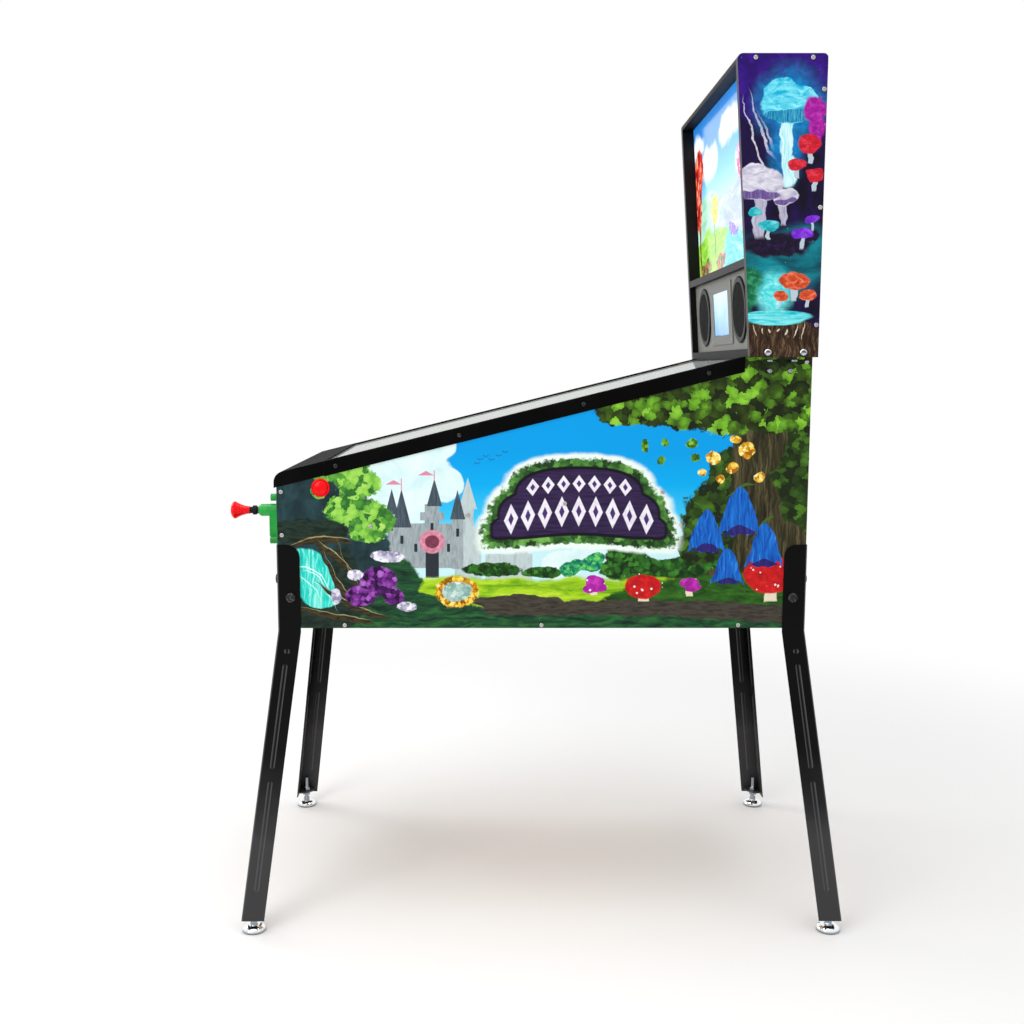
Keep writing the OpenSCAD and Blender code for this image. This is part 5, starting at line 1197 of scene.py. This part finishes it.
# ---- Backbox ----
# Plywood sides with printed vinyl outside, and black painted boards between them, screwed and bolted
# down on two folded brackets. The picture shows a cave of glowing mushrooms over a still pool.
decal_head = finish("printed_vinyl_backbox_decal", Roughness=0.32, Specular_IOR_Level=0.14)
canvas((0.03, 3.0, 22), ("Y", front, 1000.0))
picture = brushed(loose, 34, "04020a 0c0420 1d0a45 2f1068", (1, 1.8))
layer(((940, 1650, 90, 60), (900, 1610, 40, 50), (1010, 1640, 40, 60)),
      brushed(flat, 22, "1c0a4a 2b0b6e 4a16a0"), 0.25, 0.2, (24, 0.4))
layer(((960, 1300, 80, 54), (920, 1270, 70, 34), (1000, 1330, 40, 40)),
      brushed(flat, 46, "021e28 05505e 0d8a98 04343f", (1.8, 1)), 0.45, 0.3)
# Pale plumes over a stump that holds a pool, with bright cuts along its rim
layer(strands(loose, ((905, 1520, -2.6, 0.012, 26, 5), (922, 1526, -2.2, 0.016, 30, 6),
                      (940, 1512, -1.6, 0.014, 28, 5))), brushed(loose, 4, "8a86a8 c8c4d8 f0edf6", (3, 1)), 0.25)
layer(((950, 1160, 80, 46), (900, 1150, 46, 30), (1004, 1150, 40, 40)),
      brushed(loose, 8, "060403 1c110b 3a2618 6a5540 120b07", (0.6, 4)), 0.06, 0.2, (14, 0.25))
layer(rounds(flat, ((952, 1205, 66, 11), (952, 1200, 54, 12)), 0.1),
      brushed(flat, 8, "067c8c 18c0cf 8af0f2 0c98a8", (5, 0.6)), 0.1, edge=(16, 0.12))
layer(strands(loose, [(y, 1179, (y - 952) * 0.1, 0, 2.4, 2.2 + abs(y - 952) * 0.08) for y in range(898, 1012, 15)]),
      brushed(loose, 4, "a8987a f2ead2"), 0.25)
for shapes, grain, codes, soft in (
    (((950, 1336, 66, 22), (1000, 1352, 30, 14)), 10, "06040c 150c24 3a1f5c", 0.15),
    (((898, 1262, 30, 36), (886, 1230, 20, 20)), 12, "063022 14704a 5ac88a", 0.15),
    (((948, 1246, 30, 40),), 9, "0c98a8 5ae0e4 d8fffc", 0.4),
):
    layer(shapes, brushed(flat, grain, codes, (1.4, 1)), soft, 0.2, (14, 0.3))
# Giant glowing mushroom: a broad cap with gills over a pale stalk, and smaller ones round it
layer(((968, 1590, 62, 62), (962, 1510, 30, 60)), brushed(flat, 24, "0a3f78 0f6fb2 18a0d8"), 0.4, 0.25, (30, 0.35))
layer(((962, 1520, 12, 66), (970, 1470, 16, 30)),
      brushed(loose, 5, "3fb7d0 9be9f2 e6fdff 62c8dc", (0.5, 7)), 0.12, 0.2)
layer(((966, 1588, 50, 34), (950, 1610, 30, 26), (990, 1600, 28, 24)),
      brushed(loose, 9, "0a84b4 17b6dc 7fe8f6 e8feff", (2.4, 1)), 0.06, 0.15, (15, 0.14))
layer(((966, 1568, 44, 12),), brushed(flat, 4, "06476e 1287b4 7bd9ea", (0.5, 6)), 0.08)
layer(((1012, 1580, 22, 24), (1018, 1548, 14, 26)), brushed(flat, 9, "5a0b66 a51c9c e04fc4"), 0.15, 0.2, (12, 0.35))
layer(cut_shapes(loose, (("box", 916, 1392, 11, 44), ("box", 960, 1398, 6, 26))),
      brushed(loose, 5, "6f6a8c b4b0c8 dedbe8", (0.5, 7)), 0.12)
layer(((916, 1446, 44, 28), (904, 1462, 28, 24), (962, 1424, 22, 15)),
      brushed(loose, 12, "8c88a6 bab6cc e6e3ee f6f4fa", (2, 0.8)), 0.06, 0.15, (20, 0.12))
layer(((916, 1428, 38, 8), (962, 1416, 19, 5)), brushed(flat, 4, "3a2a58 6a5290 a48cc8", (0.5, 6)), 0.12)
for caps, codes in ((((984, 1272, 28, 17), (1010, 1244, 17, 11), (960, 1244, 13, 9)), "7a1408 d8502c ffb088"),
                    (((1006, 1520, 22, 15), (984, 1480, 17, 11), (1016, 1462, 16, 12)), "8c1020 d02032 f2566a"),
                    (((934, 1372, 17, 11), (908, 1398, 12, 8)), "0a6f80 20b4c0 9af0ee"),
                    (((996, 1356, 20, 12), (1014, 1382, 12, 9)), "4a12a0 7a2ad0 b070ff")):
    layer(cut_shapes(loose, [("box", y, z - b - 4, a * 0.2, b) for y, z, a, b in caps]), "b9c9d6", 0.12)
    layer(caps, brushed(flat, 9, codes, (1.6, 1)), 0.08)
sparks = add("TexVoronoi", {"Vector": flat, "Scale": 1 / 17})
layer(add("MapRange", {"Value": sparks, "From Min": 0.0, "From Max": 0.16, "To Min": 0.9, "To Max": 1.4}),
      "8fd6ea", 0.1)
outer = add("Math", {0: axes.outputs["X"]}, operation="ABSOLUTE")
skin = add("Math", {0: outer, 1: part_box("backbox_sides")[1].x - film_deep}, operation="GREATER_THAN")
feed("Base Color", add("Mix", {0: skin, 6: linear("0c0c0d"), 7: picture}, data_type="RGBA"))
relief(0.06, film_deep, 350.0, 2.0)
dress(decal_head, "backbox_sides")
dress(decal, "backbox_brackets")

# ---- Backlit picture and lamp panel ----
# A sheet of printed acrylic that glows evenly from the lamp strips behind it: a bright valley under
# clouds, with a red tree, pink blossom and a lake, and with no figures and no lettering.
lite = finish("backlit_printed_acrylic", Roughness=0.12, Specular_IOR_Level=0.5, Emission_Strength=0.55)
canvas((0.012, 2.0, 50))
height = add("MapRange", {"Value": up_mm, "From Min": 1310, "From Max": 1663})
picture = tones(height, "d9f2d0 b8e8f2 5fb8ee 2a86dc")
layer(((-120, 1560, 90, 36), (110, 1600, 110, 30), (220, 1520, 70, 30), (-240, 1610, 70, 26)),
      brushed(loose, 60, "dff1fa ffffff"), 0.3, 0.2, (60, 0.5), loose)
for shapes, grain, codes in (
    (((-150, 1440, 150, 60), (20, 1420, 130, 50)), 34, "6fb8a8 a8dcc0 d8f2dc"),
    (((180, 1430, 170, 60),), 34, "7a8fd0 a8b8ec d6def8"),
    (((-120, 1350, 220, 70), (240, 1340, 110, 60)), 26, "3f9e2c 8fd23c d6f27a"),
    (((120, 1360, 120, 34), (40, 1335, 110, 26)), 20, "1f8f9a 3fc8cc c8f8f4"),
):
    layer(shapes, brushed(loose, grain, codes, (2.6, 0.6)), 0.06, 0.2, (30, 0.15))
layer(cut_shapes(loose, (("box", -262, 1420, 9, 90), ("box", 214, 1430, 6, 60), ("box", -90, 1400, 4, 40))),
      brushed(loose, 8, "3a1c14 6a3a24 9a6a48", (0.5, 4)), 0.1)
for shapes, size, codes in (
    (((-266, 1520, 46, 70), (-236, 1560, 40, 44), (-282, 1470, 30, 40)), 17, "8c0f12 d42a22 f2785c ffb08c"),
    (((214, 1510, 54, 40), (240, 1540, 36, 30), (186, 1530, 30, 24)), 14, "c83c8c f286b8 ffc8e0 ffe8f4"),
    (((-90, 1456, 34, 26), (-72, 1470, 20, 18)), 11, "e0a010 f8d84c fff6b8"),
    (((-40, 1340, 50, 16), (-210, 1334, 66, 18), (256, 1326, 50, 14)), 13, "1f6a1c e84c6a 3f9e2c f8a8b8"),
    (((90, 1395, 26, 16), (120, 1388, 22, 12)), 9, "5a3cb0 9a7ce0 d8c8f8"),
):
    layer(shapes, leafy(flat, size, codes), 0.05, 0.2, (14, 0.6))
rim = add("Math", {0: across_mm}, operation="ABSOLUTE")
rim = add("Math", {0: rim, 1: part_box("translite")[1].x * 1000 - 10}, operation="GREATER_THAN")
picture = add("Mix", {0: rim, 6: picture, 7: linear("101014")}, data_type="RGBA")
feed("Base Color", picture)
feed("Emission Color", picture)
dress(lite, "translite")
# Matt white paint, to throw the lamps' light forward
dress(grained("white_painted_board", (300.0, 3.0), "d2d2ce dededa e6e6e2", Roughness=0.5), "lamp_panel")

# ---- Speaker panel, speakers and display ----
# A board in mid grey paint carries two speakers behind black grilles and the display, whose light
# blue glass sits in a grey plate held by four screws.
# Rolled paint: a satin mid grey with a fine nap
dress(grained("grey_painted_board", (520.0, 3.0), "75766f 83847c 8f9088", (0.1, 0.0004), Roughness=0.46,
              Specular_IOR_Level=0.35), "speaker_panel")

# The face leans back by 38 mm over the backbox's 551 mm
lean = math.atan(38 / 551)
floor_low, floor_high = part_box("backbox_floor")
face_foot = Vector((0, floor_low.y + (floor_high.z - floor_low.z) * math.sin(lean), floor_low.z))
speaker_up = 0.094
panel_deep = 0.014


def on_face(x, up):
    """Matrix of a place on the speaker panel: X across, Y up the leaning face and Z out of it."""
    return (Matrix.Translation(face_foot) @ Matrix.Rotation(lean, 4, "X") @ Matrix.Translation((x, panel_deep, up))
            @ Matrix.Rotation(math.radians(90), 4, "X"))


# Moulded plastic ring: satin black
dress(grained("moulded_speaker_ring", (700.0, 2.0), "0a0a0a 111112 1a1a1b", Roughness=0.4, Specular_IOR_Level=0.15),
      "speakers")
# Expanded steel under black paint: dark and slightly dusty
mesh_grey = grained("black_painted_expanded_mesh", (120.0, 3.0), "121213 1c1d1e 292a2b", Roughness=0.5,
                    Specular_IOR_Level=0.2)
speaker_reach = 0.0655
speaker_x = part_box("speakers")[1].x - speaker_reach
grille_reach = 0.0525
for side, x in (("right", speaker_x), ("left", -speaker_x)):
    clear()
    bpy.ops.mesh.primitive_grid_add(x_subdivisions=34, y_subdivisions=34, size=2 * grille_reach)
    grille = bpy.context.object
    grille.name = "speaker_grille_" + side
    pick(grille, lambda c, n: c.length > grille_reach)
    bpy.ops.mesh.delete(type="FACE")
    done()
    grille.data.transform(Matrix.Translation((0, 0, 0.0028)) @ Matrix.Rotation(math.radians(45), 4, "Z"))
    apply(grille, "WIREFRAME", thickness=0.0011, use_even_offset=True)
    fit(grille, mesh_grey, place=on_face(x, speaker_up))

# Sprayed sheet steel: a slightly darker, smoother grey
dress(grained("grey_painted_display_plate", (620.0, 2.0), "5f605b 6e6f69 7b7c75", Roughness=0.4,
              Specular_IOR_Level=0.4), "display_module")
screen = block("display_screen", (-0.0768, -0.0463, 0.0001), (0.0768, 0.0463, 0.0016))
apply(screen, "BEVEL", width=0.0006, segments=2)
pick(screen, lambda c, n: n.z > 0.95)
bpy.ops.mesh.inset(thickness=0.003, depth=-0.0004)
done()
# Lit display glass: a pale blue glow, brighter towards the top
screen_glass = finish("lit_display_glass", Roughness=0.08, Emission_Strength=0.45)
spot = add("TexCoord")
axes = add("SeparateXYZ", {0: spot.outputs["Object"]})
rise = add("MapRange", {"Value": axes.outputs["Z"], "From Min": 1.17, "From Max": 1.28})
rise = add("Math", {0: rise, 1: 0.7}, operation="MULTIPLY")
haze = add("TexNoise", {"Vector": spot.outputs["Object"], "Scale": 18.0, "Detail": 3.0})
sky_blue = tones(add("Math", {0: haze, 1: 0.4, 2: rise}, operation="MULTIPLY_ADD"), "4a90c8 86bde6 c4e4f8")
feed("Base Color", sky_blue)
feed("Emission Color", sky_blue)
fit(screen, screen_glass, place=on_face(0, speaker_up))
